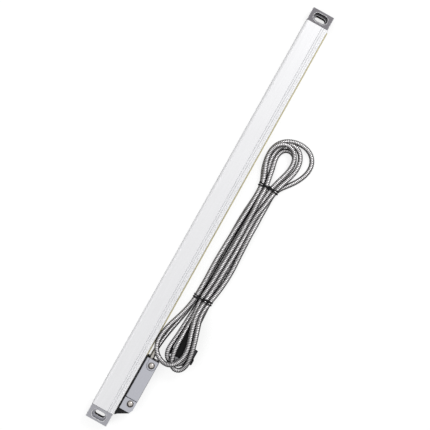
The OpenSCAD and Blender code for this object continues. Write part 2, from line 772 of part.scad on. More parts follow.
module flange_box(clear) {
    box([carriage_x - blade_l / 2 - clear, blade_y0 - clear, flange_z0 - clear],
        [carriage_x + blade_l / 2 + clear, flange_y + clear, blade_z + blade_t / 2]);
}

module blade() color("lightgray") difference() {
    union() {
        blade_box(0, blade_z + blade_t / 2);
        flange_box(0);
    }
    // fork that takes the carriage's pin
    box([carriage_x - coupling_r - blade_clear, blade_y1 - 3, 0],
        [carriage_x + coupling_r + blade_clear, blade_y1 + 1, housing_h]);
    blade_screw_places() cylinder_y(blade_y0 - 1, 3, small_r + small_fit);
}

module blade_screws() color("silver") blade_screw_places() small_screw_y(blade_y0, 2.2);

module arm_screws() color("silver") arm_screw_places() small_screw_y(body_y1 - head_wall, head_wall + 2);

module coupling_pin() color("silver") translate([carriage_x, 0, blade_z])
    cylinder_y(blade_y1 - 2.6, carriage_y0 - blade_y1 + 2.6, coupling_r);

module coupling_spring() color("silver") {
    y0 = blade_y1 + coupling_wire_r;
    rise = carriage_y0 - coupling_wire_r - y0;
    tube([for (a = [0 : 15 : coupling_turn]) [
        carriage_x + coupling_coil_r * cos(a),
        y0 + rise * a / coupling_turn,
        blade_z + coupling_coil_r * sin(a),
    ]], coupling_wire_r, 8, [0, 1, 0]);
}

module signal_board() color("darkgreen") {
    x0 = bay_x0 + board_gap;
    x1 = bay_x1 - board_gap;
    y0 = head_y0 + head_wall + board_gap;
    y1 = body_y1 - head_wall - board_gap;
    difference() {
        box([x0, y0, board_z], [x1, y1, board_z + board_t]);
        for (x = [x0 + 1.4, x1 - 1.4]) translate([x, y0 + 0.8, board_z - 1])
            cylinder(h = 3, r = 0.55, $fn = fine);
    }
    // chips, capacitor and the ribbon's socket
    box([x0 + 6, y0 + 1.5, board_z + board_t - eps], [x0 + 12, y0 + 6.5, board_z + board_t + 1.2]);
    box([x0 + 14, y0 + 1.5, board_z + board_t - eps], [x0 + 17, y0 + 4, board_z + board_t + 1]);
    translate([x1 - 5, y0 + 3, board_z + board_t - eps]) cylinder(h = 3, r = 1.6, $fn = fine);
    box([flex_x - flex_w / 2, y1 - 1.8, board_z + board_t - eps],
        [flex_x + flex_w / 2, y1 - 0.2, board_z + board_t + 0.6]);
}

module board_screws() color("silver") {
    x0 = bay_x0 + board_gap;
    x1 = bay_x1 - board_gap;
    y = head_y0 + head_wall + board_gap + 0.8;
    for (x = [x0 + 1.4, x1 - 1.4]) translate([x, y, board_z + board_t]) {
        translate([0, 0, -board_t]) cylinder(h = board_t + eps, r = 0.5, $fn = fine);
        cylinder(h = 0.6, r = 1, $fn = fine);
    }
}

module flex_ribbon() color("darkorange") {
    z0 = blade_z + blade_t / 2 + blade_clear;
    y_end = body_y1 - head_wall - board_gap - 1;
    box([flex_x - flex_w / 2, y_end, z0], [flex_x + flex_w / 2, carriage_y0, z0 + flex_t]);
    box([flex_x - flex_w / 2, y_end, board_z + board_t + 0.6],
        [flex_x + flex_w / 2, y_end + flex_t, z0 + eps]);
}

module inner_cable() color("dimgray") translate([0, cable_y, cable_z])
    cylinder_x(bay_x1 - inner_end, head_x1 - spigot_l - bay_x1 + inner_end, wire_r - 0.2);

module cable_gland() color("silver") translate([0, cable_y, cable_z]) {
    cylinder_x(head_x1 - spigot_l, spigot_l + eps, spigot_r);
    difference() {
        cylinder_x(head_x1, nut_l, ferrule_r);
        for (turn = [0 : 60 : 300]) rotate([turn, 0, 0])
            box([head_x1 + 0.6, -4, ferrule_r * 0.93], [head_x1 + nut_l - 0.4, 4, 5]);
    }
    translate([head_x1 + nut_l, 0, 0]) rotate([0, 90, 0])
        cylinder(h = ferrule_l - nut_l, r1 = ferrule_r - 0.1, r2 = cable_r + 0.1, $fn = fine);
}

// ---------- carriage ----------

module roller_pocket_y() box(
    [-roller_r - roller_pocket, -roller_w / 2 - roller_side, -roller_r - 1],
    [roller_r + roller_pocket, roller_w / 2 + roller_side, 6]);

module top_roller_places() {
    translate([carriage_x - top_roller_x, near_roller_y, top_roller_z]) children();
    translate([carriage_x + top_roller_x, near_roller_y, top_roller_z]) children();
    translate([carriage_x + far_roller_x, far_roller_y, top_roller_z]) children();
}

module edge_roller_places() for (side = [-1, 1])
    translate([carriage_x + side * edge_roller_x, edge_roller_y, blade_z]) children();

module carriage_frame() color("slategray") difference() {
    along_x(carriage_x - carriage_l / 2, carriage_l) polygon([
        [carriage_y0, lower_z0], [carriage_y1, lower_z0], [carriage_y1, lower_z1], [mouth_y, lower_z1],
        [mouth_y, upper_z0], [carriage_y1, upper_z0], [carriage_y1, upper_z1], [carriage_y0, upper_z1],
    ]);
    top_roller_places() {
        roller_pocket_y();
        cylinder_y(pin_y0 - pin_end, top_pin_l + 2 * pin_end, roller_pin_r + roller_fit);
    }
    edge_roller_places() {
        box([-roller_r - roller_pocket, -6, -roller_w / 2 - roller_side],
            [roller_r + roller_pocket, 4, roller_w / 2 + roller_side]);
        translate([0, 0, -edge_pin_l / 2 - pin_end])
            cylinder(h = edge_pin_l + 2 * pin_end, r = roller_pin_r + roller_fit, $fn = fine);
    }
    // light path: lens bore, lamp window, grating seat, sensor window and board seats
    translate([carriage_x, optic_y, upper_z0 - 1])
        cylinder(h = upper_limb_t + 2, r = lens_r + part_fit, $fn = fine);
    box([carriage_x - lamp_l / 2, optic_y - lamp_w / 2, upper_z1 - board_t],
        [carriage_x + lamp_l / 2, carriage_y1 + 1, upper_z1 + 1]);
    box([carriage_x - window_l / 2, optic_y - window_w / 2, lower_z0 - 1],
        [carriage_x + window_l / 2, optic_y + window_w / 2, lower_z1 + 1]);
    box([carriage_x - window_l / 2 - grating_rim, optic_y - window_w / 2 - grating_rim, lower_z1 - board_t],
        [carriage_x + window_l / 2 + grating_rim, carriage_y1 + 1, lower_z1 + 1]);
    box([carriage_x - window_l / 2 - sensor_rim, optic_y - sensor_w / 2, lower_z0 - 1],
        [carriage_x + window_l / 2 + sensor_rim, carriage_y1 + 1, lower_z0 + board_t]);
}

module roller_pins() color("silver") {
    top_roller_places() cylinder_y(pin_y0, top_pin_l, roller_pin_r);
    edge_roller_places() translate([0, 0, -edge_pin_l / 2])
        cylinder(h = edge_pin_l, r = roller_pin_r, $fn = fine);
}

module lamp_board() color("darkgreen") {
    box([carriage_x - lamp_l / 2 + part_fit, optic_y - lamp_w / 2 + part_fit, upper_z1 - board_t],
        [carriage_x + lamp_l / 2 - part_fit, carriage_y1, upper_z1]);
    translate([carriage_x, optic_y, upper_z1 - board_t - 1.2]) cylinder(h = 1.2 + eps, r = 1.4, $fn = fine);
}

module lens() color([0.8, 0.9, 1, 0.5]) translate([carriage_x, optic_y, upper_z0 + 0.1])
    cylinder(h = 1.6, r = lens_r, $fn = fine);

module index_grating() color([0.7, 0.8, 0.8, 0.6])
    box([carriage_x - window_l / 2 - grating_rim + part_fit,
         optic_y - window_w / 2 - grating_rim + part_fit, lower_z1 - board_t],
        [carriage_x + window_l / 2 + grating_rim - part_fit, carriage_y1, lower_z1]);

module sensor_board() color("darkgreen") {
    box([carriage_x - window_l / 2 - sensor_rim + part_fit, optic_y - sensor_w / 2 + part_fit, lower_z0],
        [carriage_x + window_l / 2 + sensor_rim - part_fit, carriage_y1, lower_z0 + board_t]);
    box([carriage_x - 4, optic_y - 1.6, lower_z0 + board_t - eps],
        [carriage_x + 4, optic_y + 1.6, lower_z0 + board_t + 0.8]);
}

// Half section of a ring whose outer corners are chamfered
module chamfered_rim(size, c) polygon([
    [0, 0], [size.x - c, 0], [size.x, c], [size.x, size.y - c], [size.x - c, size.y], [0, size.y],
]);

module roller() color("silver") difference() {
    bore_r = roller_pin_r + roller_fit;
    rotate_extrude($fn = fine) translate([bore_r, -roller_w / 2])
        chamfered_rim([roller_r - bore_r, roller_w], 0.2);
    // shallow groove that shows the gap between the rings on both faces
    for (side = [-1, 1]) translate([0, 0, side * roller_w / 2]) rotate_extrude($fn = fine)
        translate([roller_r * 0.55, -0.15]) square([roller_r * 0.2, 0.3]);
}

module top_roller(x, y) translate([carriage_x + x, y, top_roller_z]) rotate([90, 0, 0]) roller();

module edge_roller(side) translate([carriage_x + side * edge_roller_x, edge_roller_y, blade_z]) roller();

module roller_top_left() top_roller(-top_roller_x, near_roller_y);

module roller_top_right() top_roller(top_roller_x, near_roller_y);

module roller_top_far() top_roller(far_roller_x, far_roller_y);

module roller_edge_left() edge_roller(-1);

module roller_edge_right() edge_roller(1);

// ---------- cable ----------

module cable_lead() color("silver") tube(lead_route, cable_r, 12);

module cable_tail() color("silver") tube(tail_route, cable_r, 12);

module hank_outline() translate([ferrule_x1, cable_y])
    polygon(closed_curve(concat(hank_top, hank_bottom), 3));

module cable_hank() color("darkgray") difference() {
    union() {
        linear_extrude(hank_h) hank_outline();
        intersection() {
            linear_extrude(loops_top) hank_outline();
            box([ferrule_x1 - beyond, cable_y - beyond, 1], [loops_x, cable_y + beyond, loops_top]);
        }
    }
    // room for the ferrule and the lead
    box([ferrule_x1 - beyond, cable_y - ferrule_r - 1.4, -1],
        [hank_x0, cable_y + beyond, cable_z + ferrule_r + pocket_gap]);
    // room for the plug and its tail
    box([hood_x0 - shell_l - 1.6, plug_y - hood_ear_w / 2 - 0.6, -1],
        [tail_x1, plug_y + hood_ear_w / 2 + 0.6, hood_h + pocket_gap]);
    tie_seat(tie_left_x, tie_left_y);
    tie_seat(tie_right_x, tie_right_y);
}

// The hank is squeezed to a plain rectangle under each tie
module tie_seat(x, y_range) difference() {
    box([x - tie_half, cable_y - beyond, -1], [x + tie_half, cable_y + beyond, hank_h + 1]);
    box([x - tie_half - 1, y_range[0], tie_t], [x + tie_half + 1, y_range[1], tie_top]);
}

module tie(x, y_range) {
    width = y_range[1] - y_range[0];
    height = tie_top - tie_t;
    for (side = [0, 1]) along_x(x - tie_half + side * (tie_w + tie_gap), tie_w)
        translate([y_range[0], tie_t]) difference() {
            translate([-tie_t, -tie_t]) rounded_rect([width + 2 * tie_t, height + 2 * tie_t], tie_t * 0.95);
            square([width, height]);
        }
    // twist that joins both windings on top
    translate([0, y_range[0] + width * 0.45, tie_top + tie_t / 2])
        cylinder_x(x - tie_half, 2 * tie_half, tie_t / 2);
}

module tie_left() color([0.1, 0.1, 0.1]) tie(tie_left_x, tie_left_y);

module tie_right() color([0.1, 0.1, 0.1]) tie(tie_right_x, tie_right_y);

// ---------- plug ----------

module hood_plan(inset = 0) {
    ear = hood_ear_w / 2 - inset;
    body = hood_body_w / 2 - inset;
    neck = cable_r + neck_w - inset;
    polygon([
        [hood_x0 + inset, -ear], [hood_x0 + ear_t, -ear], [hood_x0 + ear_t, -body],
        [hood_x1 - 14, -body], [hood_x1 - 7, -neck], [hood_x1 - inset, -neck],
        [hood_x1 - inset, neck], [hood_x1 - 7, neck], [hood_x1 - 14, body],
        [hood_x0 + ear_t, body], [hood_x0 + ear_t, ear], [hood_x0 + inset, ear],
    ]);
}

module hood_screw_places() for (side = [-1, 1]) translate([hood_screw_x, side * hood_screw_y, 0]) children();

module hood_solid() translate([0, plug_y, 0]) difference() {
    intersection() {
        linear_extrude(hood_h) hood_plan();
        along_x(hood_x0 - 1, hood_l + 2) translate([-hood_ear_w / 2, 0])
            chamfered_rect([hood_ear_w, hood_h], hood_chamfer);
    }
    // hollow inside
    difference() {
        translate([0, 0, hood_wall]) linear_extrude(hood_h - 2 * hood_wall) intersection() {
            hood_plan(hood_wall);
            translate([hood_x0 + ear_t, -hood_body_w / 2]) square([hood_l - ear_t - 9, hood_body_w]);
        }
        hood_screw_places() cylinder(h = hood_h, r = hood_post_r, $fn = fine);
    }
    // seat of the shell's insulator, and the cable's way in
    translate([hood_x0 - 1, -9.2, hood_mid - 5]) cube([ear_t + 2, 18.4, 10]);
    translate([0, 0, hood_mid]) cylinder_x(hood_x1 - 10, 12, wire_r + 0.3);
    for (side = [-1, 1]) translate([0, side * thumb_pitch / 2, hood_mid])
        cylinder_x(hood_x0 - 1, ear_t + 2, thumb_r + thumb_fit);
    hood_screw_places() {
        translate([0, 0, 2]) cylinder(h = hood_h, r = small_r + small_fit, $fn = fine);
        translate([0, 0, hood_h - small_head_h]) cylinder(h = 2, r = small_head_r + 0.2, $fn = fine);
    }
}

module hood_lower() color([0.13, 0.13, 0.14]) intersection() {
    hood_solid();
    box([hood_x0 - 5, plug_y - hood_ear_w, -1], [hood_x1 + 5, plug_y + hood_ear_w, hood_mid]);
}

module hood_upper() color([0.13, 0.13, 0.14]) intersection() {
    hood_solid();
    box([hood_x0 - 5, plug_y - hood_ear_w, hood_mid], [hood_x1 + 5, plug_y + hood_ear_w, hood_h + 1]);
}

module hood_screws() color("silver") translate([0, plug_y, 0])
    hood_screw_places() translate([0, 0, hood_h - small_head_h])
        pan_screw(small_head_r, small_head_h, small_r, hood_h - 4);

// D outline of the shell: wide at the top, seen along the plug
module shell_outline(shrink) {
    w = shell_w / 2 - shell_r;
    h = shell_h / 2 - shell_r;
    slant = 0.8;
    r = shell_r - shrink;
    polygon([
        [-w - r, h], [-w, h + r], [w, h + r], [w + r, h], [w - slant + r, -h], [w - slant, -h - r],
        [-w + slant, -h - r], [-w + slant - r, -h],
    ]);
    for (side = [-1, 1]) {
        translate([side * w, h]) circle(r, $fn = fine);
        translate([side * (w - slant), -h]) circle(r, $fn = fine);
    }
}

module plug_shell() color("silver") translate([0, plug_y, hood_mid]) {
    difference() {
        along_x(hood_x0 - shell_l, shell_l) shell_outline(0);
        along_x(hood_x0 - shell_l - 1, shell_l + 3) shell_outline(shell_t);
    }
    difference() {
        along_x(hood_x0 - flange_t, flange_t) translate([-hood_ear_w / 2 + 0.4, -6.2])
            rounded_rect([hood_ear_w - 0.8, 12.4], 1);
        along_x(hood_x0 - 2, 4) shell_outline(shell_t);
        for (side = [-1, 1]) translate([0, side * thumb_pitch / 2, 0])
            cylinder_x(hood_x0 - 2, 4, thumb_r + thumb_fit);
    }
}

module pin_places() {
    for (i = [-2 : 2]) translate([0, i * pin_pitch, pin_row]) children();
    for (i = [-1.5 : 1 : 1.5]) translate([0, i * pin_pitch, -pin_row]) children();
}

module plug_insulator() color("midnightblue") translate([0, plug_y, hood_mid]) difference() {
    union() {
        along_x(hood_x0 - flange_t - 0.5, flange_t + 0.5 + eps) shell_outline(shell_t + 0.05);
        along_x(hood_x0, ear_t + 1) translate([-9, -4.8]) square([18, 9.6]);
    }
    pin_places() cylinder_x(hood_x0 - 3, ear_t + 6, pin_r + 0.02);
}

module plug_pins() color("gold") translate([0, plug_y, hood_mid])
    pin_places() cylinder_x(hood_x0 - shell_l + 0.6, shell_l + ear_t + 2, pin_r);

module cable_clamp() color("silver") translate([0, plug_y, hood_mid]) difference() {
    // it is gripped between both halves of the hood
    box([hood_x1 - 15, -4.6, hood_wall - hood_mid], [hood_x1 - 11, 4.6, hood_mid - hood_wall]);
    cylinder_x(hood_x1 - 20, 10, wire_r + 0.3);
}

module thumbscrew(side) translate([0, plug_y + side * thumb_pitch / 2, hood_mid]) {
    cylinder_x(hood_x0 - thumb_tip, thumb_tip + ear_t + 0.5 + eps, thumb_r);
    difference() {
        cylinder_x(knob_x0, knob_l, thumb_knob_r);
        for (turn = [0 : 30 : 330]) rotate([turn, 0, 0])
            box([knob_x0 - 1, -0.25, thumb_knob_r - 0.3], [knob_x0 + knob_l + 1, 0.25, thumb_knob_r + 1]);
    }
}

module thumbscrew_near() color("dimgray") thumbscrew(-1);

module thumbscrew_far() color("dimgray") thumbscrew(1);

housing();
lip_lower();
lip_upper();
glass_scale();
glass_retainer();
cap_left();
cap_right();
gasket_left();
gasket_right();
cap_screws();
bumper_left();
bumper_right();
head_body();
head_cover();
cover_gasket();
cover_screws();
head_screws();
ground_screw();
drive_arm();
arm_screws();
blade();
blade_screws();
coupling_pin();
coupling_spring();
signal_board();
board_screws();
flex_ribbon();
inner_cable();
carriage_frame();
roller_pins();
lamp_board();
lens();
index_grating();
sensor_board();
roller_top_left();
roller_top_right();
roller_top_far();
roller_edge_left();
roller_edge_right();
cable_gland();
cable_lead();
cable_hank();
cable_tail();
tie_left();
tie_right();
hood_lower();
hood_upper();
hood_screws();
plug_shell();
plug_insulator();
plug_pins();
cable_clamp();
thumbscrew_near();
thumbscrew_far();
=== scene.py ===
"""Looks of the linear glass scale: finishes, armoured cable, cable ties and the studio.

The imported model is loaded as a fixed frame. Every length is written in millimetres and turned to metres
where it meets Blender. +X runs along the housing, +Y away from the read head and +Z up.
"""

import logging
import math
from dataclasses import dataclass, field
from enum import Enum

import bmesh
import bpy
import numpy as np
from mathutils import Matrix, Vector


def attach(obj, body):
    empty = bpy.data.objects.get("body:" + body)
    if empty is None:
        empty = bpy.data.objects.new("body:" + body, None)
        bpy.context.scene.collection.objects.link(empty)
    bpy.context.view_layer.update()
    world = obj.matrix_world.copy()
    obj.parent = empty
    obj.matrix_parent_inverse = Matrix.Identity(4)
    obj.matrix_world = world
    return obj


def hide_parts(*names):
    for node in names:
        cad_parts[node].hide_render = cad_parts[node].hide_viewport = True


LOG = logging.getLogger("glass_scale")
MM = 0.001
TIES = (-80.3, 56.8)  # where the two cable ties sit along the housing, in mm
STRAND = 2.6  # half the armoured cable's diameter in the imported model, in mm
SMALLEST = 1e-9  # less than this is no distance at all, in mm
Pair = tuple[float, float]
Point = tuple[float, float, float]
Line = np.ndarray  # rows of x, y and z
Tree = bpy.types.NodeTree
Socket = bpy.types.NodeSocket
Piece = bpy.types.Object

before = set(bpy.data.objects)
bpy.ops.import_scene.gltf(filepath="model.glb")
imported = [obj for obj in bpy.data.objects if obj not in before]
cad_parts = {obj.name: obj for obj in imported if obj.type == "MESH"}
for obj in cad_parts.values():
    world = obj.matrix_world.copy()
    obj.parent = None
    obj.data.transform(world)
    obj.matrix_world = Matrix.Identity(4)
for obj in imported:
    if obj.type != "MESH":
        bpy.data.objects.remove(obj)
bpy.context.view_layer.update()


# ---------- small tools ----------


def linear(colour: str) -> tuple[float, float, float, float]:
    """Turns an sRGB hex colour into linear RGBA.

    Args:
        colour: Six hex digits, with or without a leading #.

    Returns:
        The linear red, green and blue, and an alpha of 1.
    """
    parts = [int(colour.lstrip("#")[i:i + 2], 16) / 255 for i in (0, 2, 4)]
    return (*(c / 12.92 if c <= 0.04045 else ((c + 0.055) / 1.055) ** 2.4 for c in parts), 1.0)


def add(tree: Tree, kind: str, inputs: dict | None = None, **settings: object) -> bpy.types.Node:
    """Adds a node, sets it up and links it.

    Args:
        tree: The node tree that gets the node.
        kind: The node's type name.
        inputs: Values or output sockets, by the name or number of the node's input.
        **settings: The node's own properties.

    Returns:
        The new node.
    """
    node = tree.nodes.new(kind)
    for key, value in settings.items():
        setattr(node, key, value)
    for key, value in (inputs or {}).items():
        if isinstance(value, Socket):
            tree.links.new(value, node.inputs[key])
        else:
            node.inputs[key].default_value = value
    return node


def maths(tree: Tree, operation: str, *values: Socket | float) -> Socket:
    """Result of a Math node for some values or sockets."""
    return add(tree, "ShaderNodeMath", dict(enumerate(values)), operation=operation).outputs[0]


def linked(name: str, data: bpy.types.ID) -> bpy.types.Object:
    """A new object for a mesh, curve, camera or lamp, linked to the scene."""
    made = bpy.data.objects.new(name, data)
    bpy.context.scene.collection.objects.link(made)
    return made


def new_piece(name: str, mesh: bmesh.types.BMesh) -> Piece:
    """Makes a finished bmesh a smooth object at the origin, with its place in its mesh.

    Args:
        name: The piece's name.
        mesh: The bmesh, in metres; it is freed.

    Returns:
        The linked object.
    """
    for face in mesh.faces:
        face.smooth = True
    data = bpy.data.meshes.new(name)
    mesh.to_mesh(data)
    mesh.free()
    return linked(name, data)


def upward(tree: Tree, normal: str) -> Socket:
    """How far a surface faces up, 0 to 1, by the named normal of the Geometry node."""
    normals = add(tree, "ShaderNodeNewGeometry").outputs
    return add(tree, "ShaderNodeSeparateXYZ", {0: normals[normal]}).outputs["Z"]


def between(one: Line, two: Line, start: float, end: float, at: float) -> Line:
    """Blends from one point to another as at goes from start to end."""
    return one + (two - one) * (at - start) / (end - start)


def length_of(points: Line) -> float:
    """Length of the line through some points."""
    return float(np.linalg.norm(np.diff(points, axis=0), axis=1).sum())


# ---------- finishes ----------


class Grain(Enum):
    """How the fine pattern of a finish runs."""

    EVEN = (1.0, 1.0, 1.0)
    ALONG_X = (0.02, 1.0, 1.0)


@dataclass(frozen=True)
class Finish:
    """A surface with a fine pattern in its colour, gloss and relief.

    Attributes:
        name: What the real material is called.
        colour: Main colour, sRGB hex.
        second: Colour at the other end of the pattern, sRGB hex.
        roughness: Lowest and highest roughness.
        metallic: 1 for a bare metal.
        ior: Index of refraction of a surface that is no metal.
        grit: Size of the pattern, in mm.
        relief: Depth that the bump stands for, in mm.
        grain: Direction of the pattern.
    """

    name: str
    colour: str
    second: str
    roughness: Pair
    metallic: float = 0.0
    ior: float = 1.5
    grit: float = 0.5
    relief: float = 0.01
    grain: Grain = Grain.EVEN

    def refine(self, tree: Tree) -> None:
        """Adds what a special finish has beyond the common pattern; a plain one adds nothing."""

    @staticmethod
    def tint(tree: Tree, part: Socket, colour: str) -> None:
        """Lays a second colour over the base colour.

        Args:
            tree: The material's node tree.
            part: 1 where the second colour shows, and 0 elsewhere.
            colour: The second colour, sRGB hex.
        """
        shader = tree.nodes["Principled BSDF"]
        base = shader.inputs["Base Color"].links[0].from_socket
        mix = add(tree, "ShaderNodeMix", {"Factor": part, "A": base, "B": linear(colour)}, data_type="RGBA")
        tree.links.new(mix.outputs["Result"], shader.inputs["Base Color"])

    def material(self) -> bpy.types.Material:
        """Builds the material, or returns it if it was built before.

        Returns:
            The material, named after the finish.
        """
        known = bpy.data.materials.get(self.name)
        if known:
            return known
        made = bpy.data.materials.new(self.name)
        made.use_nodes = True
        tree = made.node_tree
        shader = tree.nodes["Principled BSDF"]
        shader.inputs["Metallic"].default_value = self.metallic
        if self.metallic < 1:
            shader.inputs["IOR"].default_value = self.ior
        place = add(tree, "ShaderNodeTexCoord").outputs["Object"]
        turned = add(tree, "ShaderNodeMapping", {"Vector": place, "Scale": self.grain.value}).outputs[0]
        pattern = add(tree, "ShaderNodeTexNoise", {"Vector": turned, "Scale": 1 / (self.grit * MM), "Detail": 3.0,
                                                   "Roughness": 0.6}).outputs["Fac"]
        reach = {"Value": pattern, "From Min": 0.3, "From Max": 0.7}  # where nearly all of the noise lies
        spread = add(tree, "ShaderNodeMapRange", reach)
        mix = add(tree, "ShaderNodeMix", {"Factor": spread.outputs[0], "A": linear(self.colour),
                                          "B": linear(self.second)}, data_type="RGBA")
        tree.links.new(mix.outputs["Result"], shader.inputs["Base Color"])
        low, high = self.roughness
        rough = add(tree, "ShaderNodeMapRange", {**reach, "To Min": low, "To Max": high})
        tree.links.new(rough.outputs[0], shader.inputs["Roughness"])
        if self.relief:
            bump = add(tree, "ShaderNodeBump", {"Height": pattern, "Distance": self.relief * MM, "Strength": 1.0})
            tree.links.new(bump.outputs[0], shader.inputs["Normal"])
        self.refine(tree)
        return made

    def dress(self, piece: Piece) -> None:
        """Gives every material slot of a piece this finish.

        Args:
            piece: The piece; one without a slot gets one.
        """
        if not piece.material_slots:
            piece.data.materials.append(None)
        for slot in piece.material_slots:
            slot.material = self.material()


@dataclass(frozen=True)
class WoundSteel(Finish):
    """Zinc-plated steel strip wound to a hose, with painted shade in the overlaps between turns and deep between
    strands.

    Attributes:
        groove: Colour of the painted shade in the grooves and deep between strands, sRGB hex.
        depth: How near other strands have to be to give a place painted shade, in mm.
        sky: Open share of the sky where the painted shade is darkest, and where there is none.
    """

    groove: str = "1a1a1c"
    depth: float = 5.0
    sky: Pair = (0.2, 0.66)

    def refine(self, tree: Tree) -> None:
        """Paints shade into the grooves by the piece's own crest attribute, and deep between strands by ambient
        occlusion.

        Args:
            tree: The material's node tree.
        """
        crest = add(tree, "ShaderNodeAttribute", attribute_name="crest").outputs["Fac"]
        seen = add(tree, "ShaderNodeAmbientOcclusion", {"Distance": self.depth * MM}, samples=6).outputs["AO"]
        bare = add(tree, "ShaderNodeMapRange", {"Value": seen, "From Min": self.sky[0], "From Max": self.sky[1]})
        # painted shade: the colour goes to the groove colour between turns and where strands lie close together
        unshaded = maths(tree, "MULTIPLY", crest, bare.outputs[0])
        self.tint(tree, maths(tree, "SUBTRACT", 1.0, unshaded), self.groove)


@dataclass(frozen=True)
class DrawnProfile(Finish):
    """A drawn profile with painted shade in its decorative grooves.

    Attributes:
        groove_shade: Colour of the painted shade in the grooves, sRGB hex.
        across: Where the grooves lie, in mm across the profile.
        depth: How deep below the top face the painted shade reaches, in mm.
        top: Height of the top face, in mm.
        skin: How far below that face the painted shade starts, in mm.
        flat: How far up a face has to look to have some sheen.
    """

    groove_shade: str = "e1e1e4"
    across: Pair = (-9.6, -5.0)
    depth: float = 0.8
    top: float = 17.0
    skin: float = 0.02
    flat: float = 0.9

    def refine(self, tree: Tree) -> None:
        """Paints shade on what lies between the two places and below the top face; only that face keeps its sheen.

        Args:
            tree: The material's node tree.
        """
        place = add(tree, "ShaderNodeTexCoord").outputs["Object"]
        parts = add(tree, "ShaderNodeSeparateXYZ", {0: place}).outputs
        middle, half = sum(self.across) / 2 * MM, (self.across[1] - self.across[0]) / 2 * MM
        deep, reach = (self.top - self.depth / 2 - self.skin) * MM, self.depth / 2 * MM
        beside = maths(tree, "COMPARE", parts["Y"], middle, half)
        below = maths(tree, "COMPARE", parts["Z"], deep, reach)
        # painted shade in the grooves
        self.tint(tree, maths(tree, "MULTIPLY", beside, below), self.groove_shade)
        sheen = add(tree, "ShaderNodeMapRange", {"Value": upward(tree, "Normal"), "From Min": self.flat,
                                                 "To Max": self.metallic})
        tree.links.new(sheen.outputs[0], tree.nodes["Principled BSDF"].inputs["Metallic"])


@dataclass(frozen=True)
class DieCasting(Finish):
    """A casting with a painted highlight on its countersunk edges, which stands for the light they catch.

    Attributes:
        chamfer_highlight: Colour of the painted highlight on those edges, sRGB hex.
        slope: How far up such an edge faces (the cosine of 45 degrees), and how far it may be off.
    """

    chamfer_highlight: str = "f0f0f2"
    slope: Pair = (0.707, 0.2)

    def refine(self, tree: Tree) -> None:
        """Puts a painted highlight on the countersunk edges, which are the faces that slope at about 45 degrees.

        Args:
            tree: The material's node tree.
        """
        sloping = maths(tree, "COMPARE", upward(tree, "True Normal"), *self.slope)
        # painted highlight on every face that slopes at about 45 degrees
        self.tint(tree, sloping, self.chamfer_highlight)
        tree.links.new(maths(tree, "SUBTRACT", 1.0, sloping), tree.nodes["Principled BSDF"].inputs["Metallic"])


